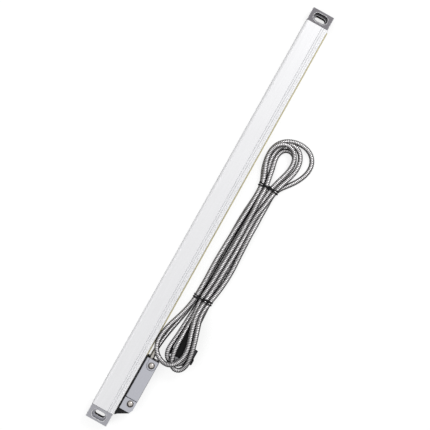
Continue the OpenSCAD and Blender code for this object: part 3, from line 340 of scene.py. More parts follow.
class Material(Enum):
    """Every finish of the scale, by what the real piece is made of and what that gives the eye."""

    # etched and clear anodised: a matt silver white whose sheen runs along the lines of the die
    ANODISED = DrawnProfile("anodised aluminium extrusion", "f3f3f5", "eeeef0", (0.42, 0.5), 0.22, grit=0.6,
                            relief=0.002, grain=Grain.ALONG_X)
    # blasted with fine beads: an even, slightly blue grey without any direction
    HEAD = Finish("blasted aluminium casting", "c8c9d0", "bfc0c8", (0.42, 0.52), 1.0, grit=0.35, relief=0.006)
    # cast skin: mid grey with a cloudy gloss, and a painted highlight on its countersunk edges
    CAP_NEAR = DieCasting("zinc casting", "b3b3b9", "aaaab0", (0.38, 0.5), 1.0, relief=0.006)
    # the same casting painted darker, as painted shade for the darker reflection on this cap, with the same painted
    # highlight on its countersunk edges
    CAP_FAR = DieCasting("zinc casting with painted shade", "706e72", "636165", (0.38, 0.5), 1.0, relief=0.006)
    # thin paint over a casting: black with a wide, soft highlight; the black also stands for the shade in the gap
    # beside the read head
    BLACK_CASTING = Finish("black painted casting", "121213", "19191b", (0.4, 0.55), ior=1.35, grit=0.4)
    # bright zinc on wound strip: a hard light line on every turn, and painted shade as a dark line between two turns
    # and deep between strands
    ARMOUR = WoundSteel("galvanised strip wound hose", "f6f4f5", "e4e2e3", (0.26, 0.38), 1.0, grit=1.5, relief=0.004)
    # vinyl over a soft wire: black, with only a faint dull highlight
    TIE = Finish("PVC coated tie wire", "101011", "17171a", (0.5, 0.65), ior=1.35, grit=0.4)
    # cast polyurethane: waxy pale amber, deeper where the lips meet
    LIP = Finish("polyurethane sealing lip", "e2d9ac", "d8ce9f", (0.5, 0.65), grit=0.4, relief=0.004,
                 grain=Grain.ALONG_X)
    # moulded rubber: dark grey and the dullest of all pieces
    RUBBER = Finish("nitrile rubber", "1b1b1c", "242425", (0.6, 0.8), grit=0.3)
    # nickel over turned steel: a warm mirror, light where the dome faces the lamp and dark round it
    SCREW = Finish("nickel plated steel", "cfc9c4", "bdb7b2", (0.1, 0.18), 1.0, grit=0.6, relief=0.002)
    # the same plating on turned brass: a light band along the sleeve between two dark sides
    GLAND = Finish("nickel plated brass", "bdbab4", "aeaba5", (0.12, 0.22), 1.0, grit=0.8, relief=0.002)
    # spark eroded mould: black, and its fine grain swallows most of the sheen
    HOOD = Finish("black ABS moulding", "0c0c0d", "121213", (0.5, 0.65), ior=1.3, grit=0.25, relief=0.012)
    # tin over pressed steel: pale, with soft-edged reflections
    SHELL = Finish("tin plated shell", "c4c5c8", "b4b5b9", (0.25, 0.4), 1.0, grit=0.8, relief=0.003)
    # resin full of short glass: flat blue black with paler specks
    INSULATOR = Finish("glass filled polyester", "202124", "28292c", (0.45, 0.6), ior=1.57, grit=0.3, relief=0.006)
    # hard gold: yellow points of light in the dark face of the connector
    GOLD = Finish("gold plated contact", "d8b15c", "cba450", (0.15, 0.25), 1.0, grit=0.3, relief=0.001)
    # float glass: smooth, with the pale green of its iron
    GLASS = Finish("float glass", "d9e6df", "cfe0d7", (0.03, 0.06), ior=1.52, relief=0.0)
    # solder mask over copper: glossy green that is lighter above the tracks
    BOARD = Finish("solder masked laminate", "1f5c3a", "2a6d47", (0.3, 0.45), ior=1.55, grit=1.2, relief=0.02)
    # polyimide film: glossy amber brown
    RIBBON = Finish("polyimide ribbon", "b8742a", "a8661f", (0.25, 0.4), ior=1.7, grit=0.6, relief=0.004)
    # soft vinyl: dark grey, smoother than rubber
    SHEATH = Finish("PVC cable sheath", "26272a", "303135", (0.45, 0.6), grit=0.4, relief=0.006)
    # blued on tempering and then tumbled: a yellowish grey gloss
    SPRING = Finish("spring steel", "a9a7a3", "97958f", (0.25, 0.4), 1.0, relief=0.002)
    # ground and polished: the clearest mirror after the glass
    BEARING = Finish("ground bearing steel", "cfcfd1", "c2c2c5", (0.1, 0.2), 1.0, grit=0.3, relief=0.001)
    # chemically blackened steel: a dark grey gloss with light only on its edges
    BLACKENED = Finish("black oxide steel", "4a4a4d", "3e3e41", (0.25, 0.4), 1.0, grit=0.4, relief=0.003)
    # milled faces: a light grey whose sheen follows the cutter's way
    CARRIAGE = Finish("machined aluminium", "b4b6ba", "a6a8ad", (0.3, 0.42), 1.0, relief=0.004,
                      grain=Grain.ALONG_X)


@dataclass(frozen=True)
class Dressing:
    """Which finish each carried-over node gets."""

    nodes: dict[Material, tuple[str, ...]] = field(default_factory=lambda: {
        Material.ANODISED: ("housing",),
        Material.LIP: ("lip_lower", "lip_upper"),
        Material.GLASS: ("glass_scale", "lens", "index_grating"),
        Material.RUBBER: ("glass_retainer", "gasket_left", "gasket_right", "bumper_left", "bumper_right",
                          "cover_gasket", "cable_clamp"),
        Material.CAP_NEAR: ("cap_left",),
        Material.CAP_FAR: ("cap_right",),
        Material.SCREW: ("cap_screws", "cover_screws", "head_screws", "ground_screw", "arm_screws", "blade_screws",
                         "board_screws", "hood_screws"),
        Material.GLAND: ("cable_gland",),
        Material.HEAD: ("head_body", "head_cover"),
        Material.BLACK_CASTING: ("drive_arm",),
        Material.SPRING: ("blade", "coupling_spring"),
        Material.BOARD: ("signal_board", "lamp_board", "sensor_board"),
        Material.RIBBON: ("flex_ribbon",),
        Material.SHEATH: ("inner_cable",),
        Material.CARRIAGE: ("carriage_frame",),
        Material.BEARING: ("coupling_pin", "roller_pins", "roller_top_left", "roller_top_right", "roller_top_far",
                           "roller_edge_left", "roller_edge_right"),
        Material.BLACKENED: ("thumbscrew_near", "thumbscrew_far"),
        Material.TIE: ("tie_left", "tie_right"),
        Material.HOOD: ("hood_lower", "hood_upper"),
        Material.SHELL: ("plug_shell",),
        Material.INSULATOR: ("plug_insulator",),
        Material.GOLD: ("plug_pins",),
    })

    def apply(self) -> None:
        """Dresses every node and reports it."""
        for material, names in self.nodes.items():
            for name in names:
                material.value.dress(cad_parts[name])
                LOG.info("%s: %s", name, material.value.name)


# ---------- armoured cable ----------


@dataclass
class CableRoute:
    """Centreline of the cable, in mm: strands that cross the waist, and loops at either end of the coil.

    Attributes:
        radius: Half the cable's diameter.
        play: Gap that strands keep from each other and from hard pieces.
        above: Gap that the lowest strand keeps from the floor.
        step: Spacing of the settled points.
        rounds: Rounds of settling.
        tightest: Radius below which a bend is opened.
        low: Height of a strand's centre in the bottom layer.
        high: Height of a strand's centre in the layer above it.
        held: How many points at either end don't move.
        in_hood: How many points at the far end the connector's blocks don't push.
        part: How strongly strands that touch push each other apart in a round.
        stiff: Strength of the cable's stiffness over one step, and over four.
        open_up: How strongly a bend that is too tight opens.
        back: Share of the way back to where the cable was laid.
        back_up: How much of that is left in height.
        sink: Fall under its own weight.
        leave: Share of the way out of a hard piece, and out of its inside.
        upwards: How much shorter the way out over the top counts than the others.
    """

    radius: float = STRAND
    play: float = 0.05
    above: float = 0.02
    step: float = 2.0
    rounds: int = 500
    tightest: float = 10.5
    low: float = 2.65
    high: float = 7.75
    held: int = 3
    in_hood: int = 4
    part: float = 1.2
    stiff: Pair = (0.2, 0.08)
    open_up: float = 0.25
    back: float = 0.05
    back_up: float = 0.4
    sink: float = 0.012
    leave: Pair = (0.7, 0.5)
    upwards: float = 0.6

    def strands(self) -> dict[str, list[Point]]:
        """Strands across the waist, from the left tie to the right tie."""
        (left, right), b, t = TIES, self.low, self.high
        return {
            "S1": [(left, -28.6, b), (-41, -29.4, b), (6, -30, b), (30, -31.2, b), (right, -32.2, b)],
            "S7": [(left, -28.6, t), (-66, -28.8, t), (-41, -28.4, t - .4), (-24, -28.8, t - .4), (6, -30.1, t - .2),
                   (30, -31.6, t), (right, -32.2, t)],
            "S5": [(left, -33.7, b), (-41, -34.8, b), (6, -35.2, b), (30, -36.2, b), (right, -37.2, b)],
            "S3": [(left, -34.4, t), (-60, -36.3, t), (-41, -37, t), (-24, -37.8, t), (6, -38.4, t + .6),
                   (24, -38.8, t + .4), (40, -37.9, t), (right, -37, t)],
            "S8": [(left, -38.8, b), (-41, -40.1, b), (6, -40.2, b), (24, -40.3, 3.6), (40, -41.2, 6.4),
                   (right, -42.2, t)],
            "S6": [(left, -39.4, t), (-60, -41, t), (-41, -41.2, 7.2), (-24, -42, 6.6), (6, -42.6, 6.6),
                   (24, -43, 9.5), (40, -44.6, 9), (right, -46.6, t)],
            "S4": [(left, -43.6, b), (-41, -45.2, b), (6, -44.4, b), (24, -43, b), (40, -42, b), (right, -41.8, b)],
            "S2": [(left, -43.8, t), (-68, -46.4, t), (-56, -47.8, 7), (-41, -48.6, 6.6), (-24, -47.8, 7),
                   (-8, -46.4, 8), (6, -44.9, 8.8), (18, -44.7, 8), (30, -45, 5), (42, -45.8, b),
                   (right, -46.6, b)],
        }

    def right_loops(self) -> dict[str, list[Point]]:
        """Loops past the right tie, from their upper strand to their lower strand."""
        b, t = self.low, self.high
        return {
            "J": [(66.8, -29, b), (76.9, -25, b), (86.9, -22.5, b), (97, -22.3, b), (104.8, -26, b),
                  (110, -32.6, b), (113.2, -40.4, b), (114.1, -49, b), (112.6, -57.2, b), (108, -64.4, b),
                  (100.6, -68.4, b), (91, -68.1, b), (80.6, -64.2, b), (71.9, -59, b), (64, -52.6, b)],
            "E": [(66.8, -28.8, t), (76.9, -24.8, t + .3), (86.9, -22.2, t + .7), (94, -22, t + 1.2),
                  (100.5, -24.6, t + 2.8), (105.2, -29.6, t + 4.4), (106.9, -35.4, t + 4.8), (105.9, -41, t + 3.8),
                  (102.4, -45.6, t + 1.8), (96.5, -49, t + .6), (88, -50.1, t + .4), (80, -48.8, t + .2),
                  (71.9, -46.3, t), (64.3, -44, t)],
            "H": [(66.8, -32.4, 3.6), (76.9, -29, 5), (86.9, -26.8, 5.7), (96, -27, 6), (103.9, -30.2, 7),
                  (109, -36.4, 7.6), (110, -42.5, 7.6), (107.4, -49.4, 7), (101.7, -54, 6.5), (94, -56.2, 6),
                  (86.9, -56.4, 6), (76.9, -54, 6.5), (66.8, -50.2, 7.2)],
            "G": [(66.8, -33.6, t - 1), (76.9, -30.8, 4), (86.9, -30, b), (95.5, -30.4, b), (101.4, -33, b),
                  (104.6, -38, b), (104.6, -43.8, b), (101, -48.4, b), (94, -50.8, b), (86, -50.6, b),
                  (76, -48.2, b), (66, -45.2, b)],
        }

    def left_loops(self) -> dict[str, list[Point]]:
        """Loops past the left tie, over the connector, from their lower strand to their upper strand."""
        b = self.low
        return {
            "B": [(-93.9, -42.4, 9.5), (-104.8, -44.2, 16.5), (-113.9, -47.4, 21.5), (-122.7, -50.6, 22.6),
                  (-132, -52.8, 22.2), (-140, -53.4, 21), (-148, -53.6, 18), (-155.6, -53.6, 16),
                  (-161.4, -51.2, 15), (-163, -46.6, 15), (-161, -41.4, 16), (-154.2, -38.8, 18), (-146, -38, 20.4),
                  (-138, -35.6, 20.4), (-128, -36.3, 18.6), (-116, -37.4, 14.6), (-104, -37, 10.5),
                  (-93, -35.6, 8.2)],
            "C": [(-93, -43.8, 3.6), (-99, -44, 9.2), (-106, -44.8, 14.4), (-114, -46.2, 17.7), (-124, -48.8, 17.8),
                  (-134, -51.2, 17.8), (-142, -51.6, 17.8), (-149.8, -50.8, 16.4), (-154.8, -47.2, 14.8),
                  (-156, -41, 14.6), (-153.8, -34, 15.4), (-149.2, -30.2, 17.2), (-143, -29.5, 17.7),
                  (-134, -30.9, 16.8), (-125, -31.6, 14.2), (-115, -32, 10.4), (-104, -32.9, 6), (-93, -33.5, b)],
            "A": [(-93, -39.8, 10.5), (-104, -40.5, 17), (-113.9, -42.4, 21.5), (-122, -44.8, 22),
                  (-128, -46.6, 22), (-134, -47.8, 22), (-141, -48, 22), (-147.6, -46.6, 22), (-153.2, -43.4, 22.4),
                  (-156.6, -38.7, 21.6), (-157.5, -32.6, 19.6), (-155.6, -25.8, 17), (-151, -19.6, 15.2),
                  (-144.2, -16.2, 14.4), (-135, -16, 13.4), (-121, -18.2, 11.5), (-107, -23.2, 9.4),
                  (-94, -26.6, 8.1)],
        }

    def lead(self) -> list[Point]:
        """From the ferrule of the read head down to the left tie; the source's own lead starts it."""
        return [(-149.6, -18.8, 8.7), (-148.2, -18.8, 8.7), (-146.2, -18.9, 8.6), (-141, -19.4, 8.2),
                (-134, -20.4, 7.4), (-120.6, -22.9, 5), (-107.2, -25.8, 3), (-94, -28.2, self.low)]

    def tail(self) -> list[Point]:
        """From the left tie into the connector's hood."""
        return [(-94, -41, 4.4), (-99, -42.2, 6), (-103, -43.1, 7.1), (-107, -43.5, 7.5), (-111, -43.5, 7.5)]

    def blocks(self) -> list[tuple[Point, Point]]:
        """Boxes that the cable lies on or beside, each by its lowest and its highest corner."""
        y = -43.5
        return [
            # the connector's hood and its neck, then its flange and shell
            ((-141, y - 9.3, 0), (-124, y + 9.3, 15)), ((-124, y - 7, 0), (-120.5, y + 7, 15)),
            ((-120.5, y - 4.8, 0), (-111, y + 4.8, 15)),
            ((-146, y - 15.7, 0), (-141, y + 15.7, 15)), ((-152, y - 8.5, 3.3), (-146, y + 8.5, 11.7)),
            # the two thumbscrews: knobs, then threads
            ((-141, -58.5, 5), (-130.5, -53.5, 10)), ((-141, -33.5, 5), (-130.5, -28.5, 10)),
            ((-151, -57.4, 6), (-146, -54.6, 9)), ((-151, -32.4, 6), (-146, -29.6, 9)),
            # the housing, and the head's arm beside it
            ((-500, -12.8, 0), (500, 12.8, 17)), ((-300, -15.9, 0), (-159.4, -13, 15)),
        ]

    def laid(self) -> Line:
        """Strings strands and loops together in the order in which the cable was coiled.

        Returns:
            The points that the cable was laid through, in mm.
        """
        strands, right, left = self.strands(), self.right_loops(), self.left_loops()
        turns = [("S1", "J", "S2", "B"), ("S3", "G", "S4", "C"), ("S5", "H", "S6", "A"), ("S7", "E", "S8", None)]
        points = self.lead()
        for up, far_end, down, near_end in turns:
            points += strands[up] + right[far_end] + strands[down][::-1]
            points += left[near_end] if near_end else []
        return np.array(points + self.tail(), float)

    @staticmethod
    def even(points: Line, count: int) -> Line:
        """Spaces points evenly along their line.

        Args:
            points: The line's points.
            count: How many steps the result has.

        Returns:
            count + 1 points.
        """
        reach = np.r_[0, np.cumsum(np.linalg.norm(np.diff(points, axis=0), axis=1))]
        at = np.linspace(0, reach[-1], count + 1)
        return np.stack([np.interp(at, reach, points[:, k]) for k in range(3)], 1)

    def paced(self, points: Line) -> Line:
        """Spaces points one step apart, as nearly as their line's length allows."""
        return self.even(points, round(length_of(points) / self.step))

    def smooth(self, points: Line, fine: int = 24) -> Line:
        """Runs a centripetal spline through the laid points.

        Args:
            points: The laid points, in mm.
            fine: Points of the spline from one laid point to the next.

        Returns:
            Evenly spaced points of the spline.
        """
        line = np.vstack([2 * points[0] - points[1], points, 2 * points[-1] - points[-2]])
        out = []
        for p in (line[i:i + 4] for i in range(len(line) - 3)):
            t = np.r_[0, np.cumsum(np.linalg.norm(np.diff(p, axis=0), axis=1) ** 0.5)]
            for at in np.linspace(t[1], t[2], fine, endpoint=False):
                near = [between(p[k], p[k + 1], t[k], t[k + 1], at) for k in range(3)]
                wide = [between(near[k], near[k + 1], t[k], t[k + 2], at) for k in range(2)]
                out.append(between(*wide, t[1], t[2], at))
        return self.paced(np.array([*out, points[-1]]))

    def clear_of_blocks(self, points: Line) -> Line:
        """Finds the way out of the blocks for points inside one, or nearer to it than the cable's radius.

        Args:
            points: The centreline, in mm.

        Returns:
            How far each point has to move, in mm.
        """
        reach = self.radius + self.play
        moved = np.zeros_like(points)
        for corners in self.blocks():
            low, high = np.array(corners, float)
            now = points + moved
            away = now - np.clip(now, low, high)
            far = np.linalg.norm(away, axis=1)
            near = (far < reach) & (far > SMALLEST)
            moved[near] += away[near] / far[near, None] * (reach - far[near])[:, None]
            for k in np.nonzero(far <= SMALLEST)[0]:
                gaps = [now[k, 0] - low[0], high[0] - now[k, 0], now[k, 1] - low[1], high[1] - now[k, 1],
                        self.upwards * (high[2] - now[k, 2])]
                side = int(np.argmin(gaps))
                axis, sign = ((0, -1), (0, 1), (1, -1), (1, 1), (2, 1))[side]
                moved[k, axis] += sign * self.leave[1] * (gaps[side] + reach)
        return moved

    @staticmethod
    def fairing(points: Line, reach: int) -> Line:
        """Pull of the cable's stiffness: each point's bow moves towards its neighbours' bow.

        Args:
            points: The centreline, in mm.
            reach: How many steps away the neighbours are.

        Returns:
            The pull on each point, in mm.
        """
        bow, pull = np.zeros_like(points), np.zeros_like(points)
        bow[reach:-reach] = (points[:-2 * reach] + points[2 * reach:]) / 2 - points[reach:-reach]
        beside = (bow[reach:-3 * reach] + bow[3 * reach:-reach]) / 2
        pull[2 * reach:-2 * reach] = bow[2 * reach:-2 * reach] - beside
        return pull

    def opening(self, points: Line, reach: int = 4) -> Line:
        """Pull that opens a bend tighter than the tightest one allowed.

        Args:
            points: The centreline, in mm.
            reach: How many steps on either side a bend is measured over.

        Returns:
            The pull on each point, in mm.
        """
        pull = np.zeros_like(points)
        a, b, c = points[:-2 * reach], points[reach:-reach], points[2 * reach:]
        area = np.linalg.norm(np.cross(b - a, c - a), axis=1) / 2
        sides = [np.linalg.norm(v, axis=1) for v in (b - a, c - b, c - a)]
        radius = sides[0] * sides[1] * sides[2] / np.maximum(4 * area, SMALLEST)
        pull[reach:-reach] = ((a + c) / 2 - b) * np.clip(1 - radius / self.tightest, 0, 1)[:, None]
        return pull

    def neighbours(self, points: Line, margin: float = 3.0, along: int = 7) -> tuple[np.ndarray, np.ndarray]:
        """Finds the pairs of points whose strands may soon touch.

        Args:
            points: The centreline, in mm.
            margin: How much further apart than touching a pair may be, in mm.
            along: Points up to this many steps apart are the same strand.

        Returns:
            The numbers of the points on either side of each pair.
        """
        apart = ((points[:, None] - points[None]) ** 2).sum(2)
        one, two = np.nonzero(apart < (2 * self.radius + self.play + margin) ** 2)
        keep = two - one > along
        return one[keep], two[keep]

    def parting(self, points: Line, one: np.ndarray, two: np.ndarray) -> Line:
        """Push between strands that touch.

        Args:
            points: The centreline, in mm.
            one: Numbers of the points on one side of each pair.
            two: Numbers of the points on the other side.

        Returns:
            The push on each point, in mm.
        """
        gap = 2 * self.radius + self.play
        away = points[one] - points[two]
        far = np.linalg.norm(away, axis=1)
        near = far < gap
        push = away[near] / np.maximum(far[near], SMALLEST)[:, None] * (gap - far[near])[:, None] / 2
        move, met = np.zeros_like(points), np.zeros(len(points))
        for side, sign in ((one[near], 1), (two[near], -1)):
            np.add.at(move, side, sign * push)
            np.add.at(met, side, 1)
        return move * (self.part / np.maximum(met, 1)[:, None])

    def settled(self, look: int = 20, respace: int = 25, calm: int = 4) -> Line:
        """Lets the cable settle: strands push apart, lie down, and stay stiff and clear of hard pieces.

        Args:
            look: Rounds after which the pairs of strands are found anew.
            respace: Rounds after which the points are spaced evenly again.
            calm: Passes that smooth the settled line.

        Returns:
            Evenly spaced points of the centreline, in mm.
        """
        laid = self.smooth(self.laid())
        points, count = laid.copy(), len(laid)
        held = np.zeros(count, bool)
        held[:self.held] = held[-self.held:] = True
        in_hood = np.arange(count) >= count - self.in_hood
        for turn in range(self.rounds):
            if turn % look == 0:
                pairs = self.neighbours(points)
            move = self.parting(points, *pairs)
            move += (self.stiff[0] * self.fairing(points, 1) + self.stiff[1] * self.fairing(points, 4)
                     + self.open_up * self.opening(points))
            move += self.back * (laid - points) * (1, 1, self.back_up)
            move[:, 2] -= self.sink
            move[held] = 0
            points = points + move
            clear = self.clear_of_blocks(points)
            clear[held | in_hood] = 0
            points = points + self.leave[0] * clear
            points[:, 2] = np.maximum(points[:, 2], self.radius + self.above)
            if (turn + 1) % respace == 0:
                points = self.even(points, count - 1)
        start = self.held  # the cable leaves the ferrule straight, and only its last point stays in the hood
        for _ in range(calm):
            points[start:-1] = (points[start - 1:-2] + 2 * points[start:-1] + points[start + 1:]) / 4
        return self.paced(points)


@dataclass
class ArmouredCable:
    """The coiled cable: steel strip wound to a hose, from the head's ferrule to the connector.

    Attributes:
        radius: Half the diameter over the crests.
        groove: Depth between two turns of the strip.
        shoulder: The same beside the crest, where the strip curves down.
        pitch: Length that one turn of the strip takes up.
        sides: Facets round the hose.
        weld: Distance within which two turns' points become one.
        route: The settled centreline.
    """

    radius: float = 2.7
    groove: float = 0.4
    shoulder: float = 0.09
    pitch: float = 1.8
    sides: int = 12
    weld: float = 0.02
    route: Line = field(default_factory=lambda: CableRoute().settled())

    def length(self) -> float:
        """Length of the centreline, in mm."""
        return length_of(self.route)

    def strip(self, pitch: float) -> Piece:
        """Spins one turn of the wound strip, which lies along +X from the origin.

        Args:
            pitch: Length of the turn, in mm.

        Returns:
            The turn, with how near each point is to its crest as an attribute.
        """
        mesh = bmesh.new()
        crest = mesh.verts.layers.float.new("crest")
        # share of the pitch, depth below the crest in mm, and how much of a crest the place is
        profile = ((0, self.groove, 0.0), (0.22, self.shoulder, 0.6), (0.5, 0, 1.0), (0.78, self.shoulder, 0.6),
                   (1, self.groove, 0.0))
        verts = [mesh.verts.new((x * pitch * MM, 0, (self.radius - dip) * MM)) for x, dip, _ in profile]
        for vert, (_, _, height) in zip(verts, profile):
            vert[crest] = height
        edges = [mesh.edges.new(pair) for pair in zip(verts, verts[1:])]
        bmesh.ops.spin(mesh, geom=verts + edges, cent=(0, 0, 0), axis=(1, 0, 0), angle=math.tau,
                       dvec=(pitch * MM / self.sides, 0, 0), steps=self.sides, use_merge=False)
        return new_piece("armour_turn", mesh)

    def build(self) -> Piece:
        """Winds the strip along the whole route.

        Returns:
            The cable as one mesh.
        """
        length = self.length()
        turns = round(length / self.pitch)
        pitch, weld = length / turns, self.weld * MM
        piece = self.strip(pitch)
        curve = bpy.data.curves.new("cable_line", "CURVE")
        curve.dimensions, curve.twist_mode = "3D", "MINIMUM"
        spline = curve.splines.new("POLY")
        spline.points.add(len(self.route) - 1)
        spline.points.foreach_set("co", np.c_[self.route * MM, np.ones(len(self.route))].ravel())
        line = linked("cable_line", curve)
        rows = piece.modifiers.new("turns", "ARRAY")
        rows.use_relative_offset, rows.use_constant_offset = False, True
        rows.constant_offset_displace = (pitch * MM, 0, 0)
        rows.count, rows.use_merge_vertices, rows.merge_threshold = turns - 1, True, weld
        bend = piece.modifiers.new("bend", "CURVE")
        bend.object, bend.deform_axis = line, "POS_X"
        bpy.context.view_layer.update()
        graph = bpy.context.evaluated_depsgraph_get()
        data = bpy.data.meshes.new_from_object(piece.evaluated_get(graph), depsgraph=graph)
        bpy.data.objects.remove(piece)
        bpy.data.objects.remove(line)
        mesh = bmesh.new()
        mesh.from_mesh(data)
        bpy.data.meshes.remove(data)
        bmesh.ops.remove_doubles(mesh, verts=mesh.verts, dist=weld)
        bmesh.ops.holes_fill(mesh, edges=[e for e in mesh.edges if e.is_boundary], sides=0)
        bmesh.ops.recalc_face_normals(mesh, faces=mesh.faces)
        cable = new_piece("armoured_cable", mesh)
        Material.ARMOUR.value.dress(cable)
        return cable


# ---------- cable ties ----------


def sweep(mesh: bmesh.types.BMesh, section: list[Pair], frames: list[Matrix], closed: bool) -> None:
    """Sweeps a section through a row of frames by extruding it from frame to frame.

    Args:
        mesh: The bmesh that gets the bar.
        section: Corners of the section, in mm, in a frame's first two axes.
        frames: One matrix per station; its third axis runs along the bar.
        closed: Whether the last frame joins the first; otherwise both ends are capped.
    """
    def placed(station: Matrix, corner: Pair) -> Vector:
        """A corner of the section at a station, in metres."""
        return (station @ Vector((*corner, 0))) * MM

    ring = [mesh.verts.new(placed(frames[0], c)) for c in section]
    edges = [mesh.edges.new(pair) for pair in zip(ring, ring[1:] + ring[:1])]
    first = list(edges)
    for station in frames[1:]:
        new = bmesh.ops.extrude_edge_only(mesh, edges=edges)["geom"]
        verts = [v for v in new if isinstance(v, bmesh.types.BMVert)]
        edges = [e for e in new if isinstance(e, bmesh.types.BMEdge) and all(v in verts for v in e.verts)]
        for vert, corner in zip(verts, section):
            vert.co = placed(station, corner)
    if closed:
        bmesh.ops.bridge_loops(mesh, edges=first + edges)
    else:
        bmesh.ops.holes_fill(mesh, edges=first + edges, sides=0)


def station(at: Vector, across: Vector, outward: Vector, along: Vector) -> Matrix:
    """A frame at a place, by its three axes."""
    return Matrix.Translation(at) @ Matrix((across, outward, along)).transposed().to_4x4()


@dataclass
class CableTie:
    """A coated wire wound twice round the bundle, crossing over itself, with its ends twisted together.

    Attributes:
        name: The piece's name.
        node: The plain solid that it replaces.
        place: Where along the housing it sits, in mm.
        route: The cable's centreline, in mm.
        width: Width of one winding.
        thick: Thickness of one winding.
        edge: How far its edges are rounded.
        sway: How far the windings part on either side of their crossing.
        crossing: How far beside the crossing they are almost that far apart.
        drop: How quickly the outer winding comes down beside the inner one.
        above: Gap that a winding keeps from the floor.
        steps: Stations round the bundle, and steps along a twisted end.
        wire: Radius of the twisted ends.
        coil: Radius of their twist.
        twists: Turns of their twist.
        begin: Where along the housing they begin, from the tie's place.
        reach: How long their twist is.
        perch: Height of the twist's middle above the strands, in thicknesses of a winding.
    """

    name: str
    node: str
    place: float
    route: Line
    width: float = 1.35
    thick: float = 0.8
    edge: float = 0.28
    sway: float = 1.4
    crossing: float = 1.5
    drop: float = 2.0
    above: float = 0.05
    steps: tuple[int, int] = (72, 24)
    wire: float = 0.55
    coil: float = 0.62
    twists: float = 1.5
    begin: float = -1.9
    reach: float = 4.2
    perch: float = 2.1

    def bundle(self) -> np.ndarray:
        """Finds where the strands cross the tie's plane.

        Returns:
            One row of (y, z) per strand, in mm.
        """
        before, after = self.route[:-1], self.route[1:]
        hit = (before[:, 0] - self.place) * (after[:, 0] - self.place) <= 0
        part = (self.place - before[hit, 0]) / (after[hit, 0] - before[hit, 0])
        return (before[hit] + (after[hit] - before[hit]) * part[:, None])[:, 1:]

    def line(self, sign: int) -> list[Vector]:
        """Centreline of one winding, tight round the bundle.

        Args:
            sign: 1 for the inner winding, -1 for the one over it; each leans its own way.

        Returns:
            Its points, in mm.
        """
        strands, points, count = self.bundle(), [], self.steps[0]
        for turn in (math.tau * k / count for k in range(count)):
            way = np.array((math.sin(turn), math.cos(turn)))
            at = strands[np.argmax(strands @ way)] + way * (STRAND + self.thick / 2)
            lean = self.sway * math.tanh((at[0] - strands[:, 0].mean()) / self.crossing)
            over = self.thick * math.exp(-self.drop * (2 * lean / self.width) ** 2) if sign < 0 else 0.0
            at += way * over
            lowest = self.thick / 2 + self.above + over
            points.append(Vector((self.place + sign * lean, at[0], max(at[1], lowest))))
        return [(points[k - 2] + points[k - 1] * 2 + points[k] * 3 + points[(k + 1) % count] * 2
                 + points[(k + 2) % count]) / 9 for k in range(count)]

    def winding(self, sign: int) -> list[Matrix]:
        """Stations of one winding.

        Args:
            sign: 1 for the inner winding, -1 for the one over it.

        Returns:
            A frame at each of its points.
        """
        points, out = self.line(sign), []
        middle = sum(points, Vector()) / len(points)
        for before, point, after in zip(points[-1:] + points, points, points[1:] + points):
            along = (after - before).normalized()
            outward = (point - middle).cross(along).cross(along).normalized() * -1
            out.append(station(point, along.cross(outward), outward, along))
        return out

    def twisted_end(self, start: float) -> list[Matrix]:
        """Frames of one of the two ends, which twist round each other along the bundle's top.

        Args:
            start: Angle at which it begins; the other end begins half a turn on.

        Returns:
            Frames along the end.
        """
        top, steps, out = self.bundle(), self.steps[1], []
        high = float(top[:, 1].max()) + STRAND + self.perch * self.thick
        middle = float(top[:, 0].mean())
        points = []
        for part in (k / steps for k in range(steps + 1)):
            turn = start + math.tau * self.twists * part
            points.append(Vector((self.place + self.begin + self.reach * part,
                                  middle + self.coil * math.cos(turn), high + self.coil * math.sin(turn))))
        for before, point, after in zip(points[:1] + points, points, points[1:] + points[-1:]):
            along = (after - before).normalized()
            across = along.cross(Vector((0, 0, 1))).normalized()
            out.append(station(point, across, along.cross(across), along))
        return out

    def build(self) -> None:
        """Winds the tie, twists its ends and reports it."""
        w, t, r = self.width / 2, self.thick / 2, self.edge
        flat = [(w, t - r), (w - r, t), (r - w, t), (-w, t - r), (-w, r - t), (r - w, -t), (w - r, -t), (w, r - t)]
        corners = [math.tau * k / 8 for k in range(8)]
        wire = [(self.wire * math.cos(c), self.wire * math.sin(c)) for c in corners]
        mesh = bmesh.new()
        for sign in (1, -1):
            sweep(mesh, flat, self.winding(sign), True)
        for start in (0.0, math.pi):
            sweep(mesh, wire, self.twisted_end(start), False)
        bmesh.ops.recalc_face_normals(mesh, faces=mesh.faces)
        piece = new_piece(self.name, mesh)
        Material.TIE.value.dress(piece)
        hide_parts(self.node)
        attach(piece, "head")
        LOG.info("%s: %d faces", self.name, len(piece.data.polygons))


# ---------- studio ----------


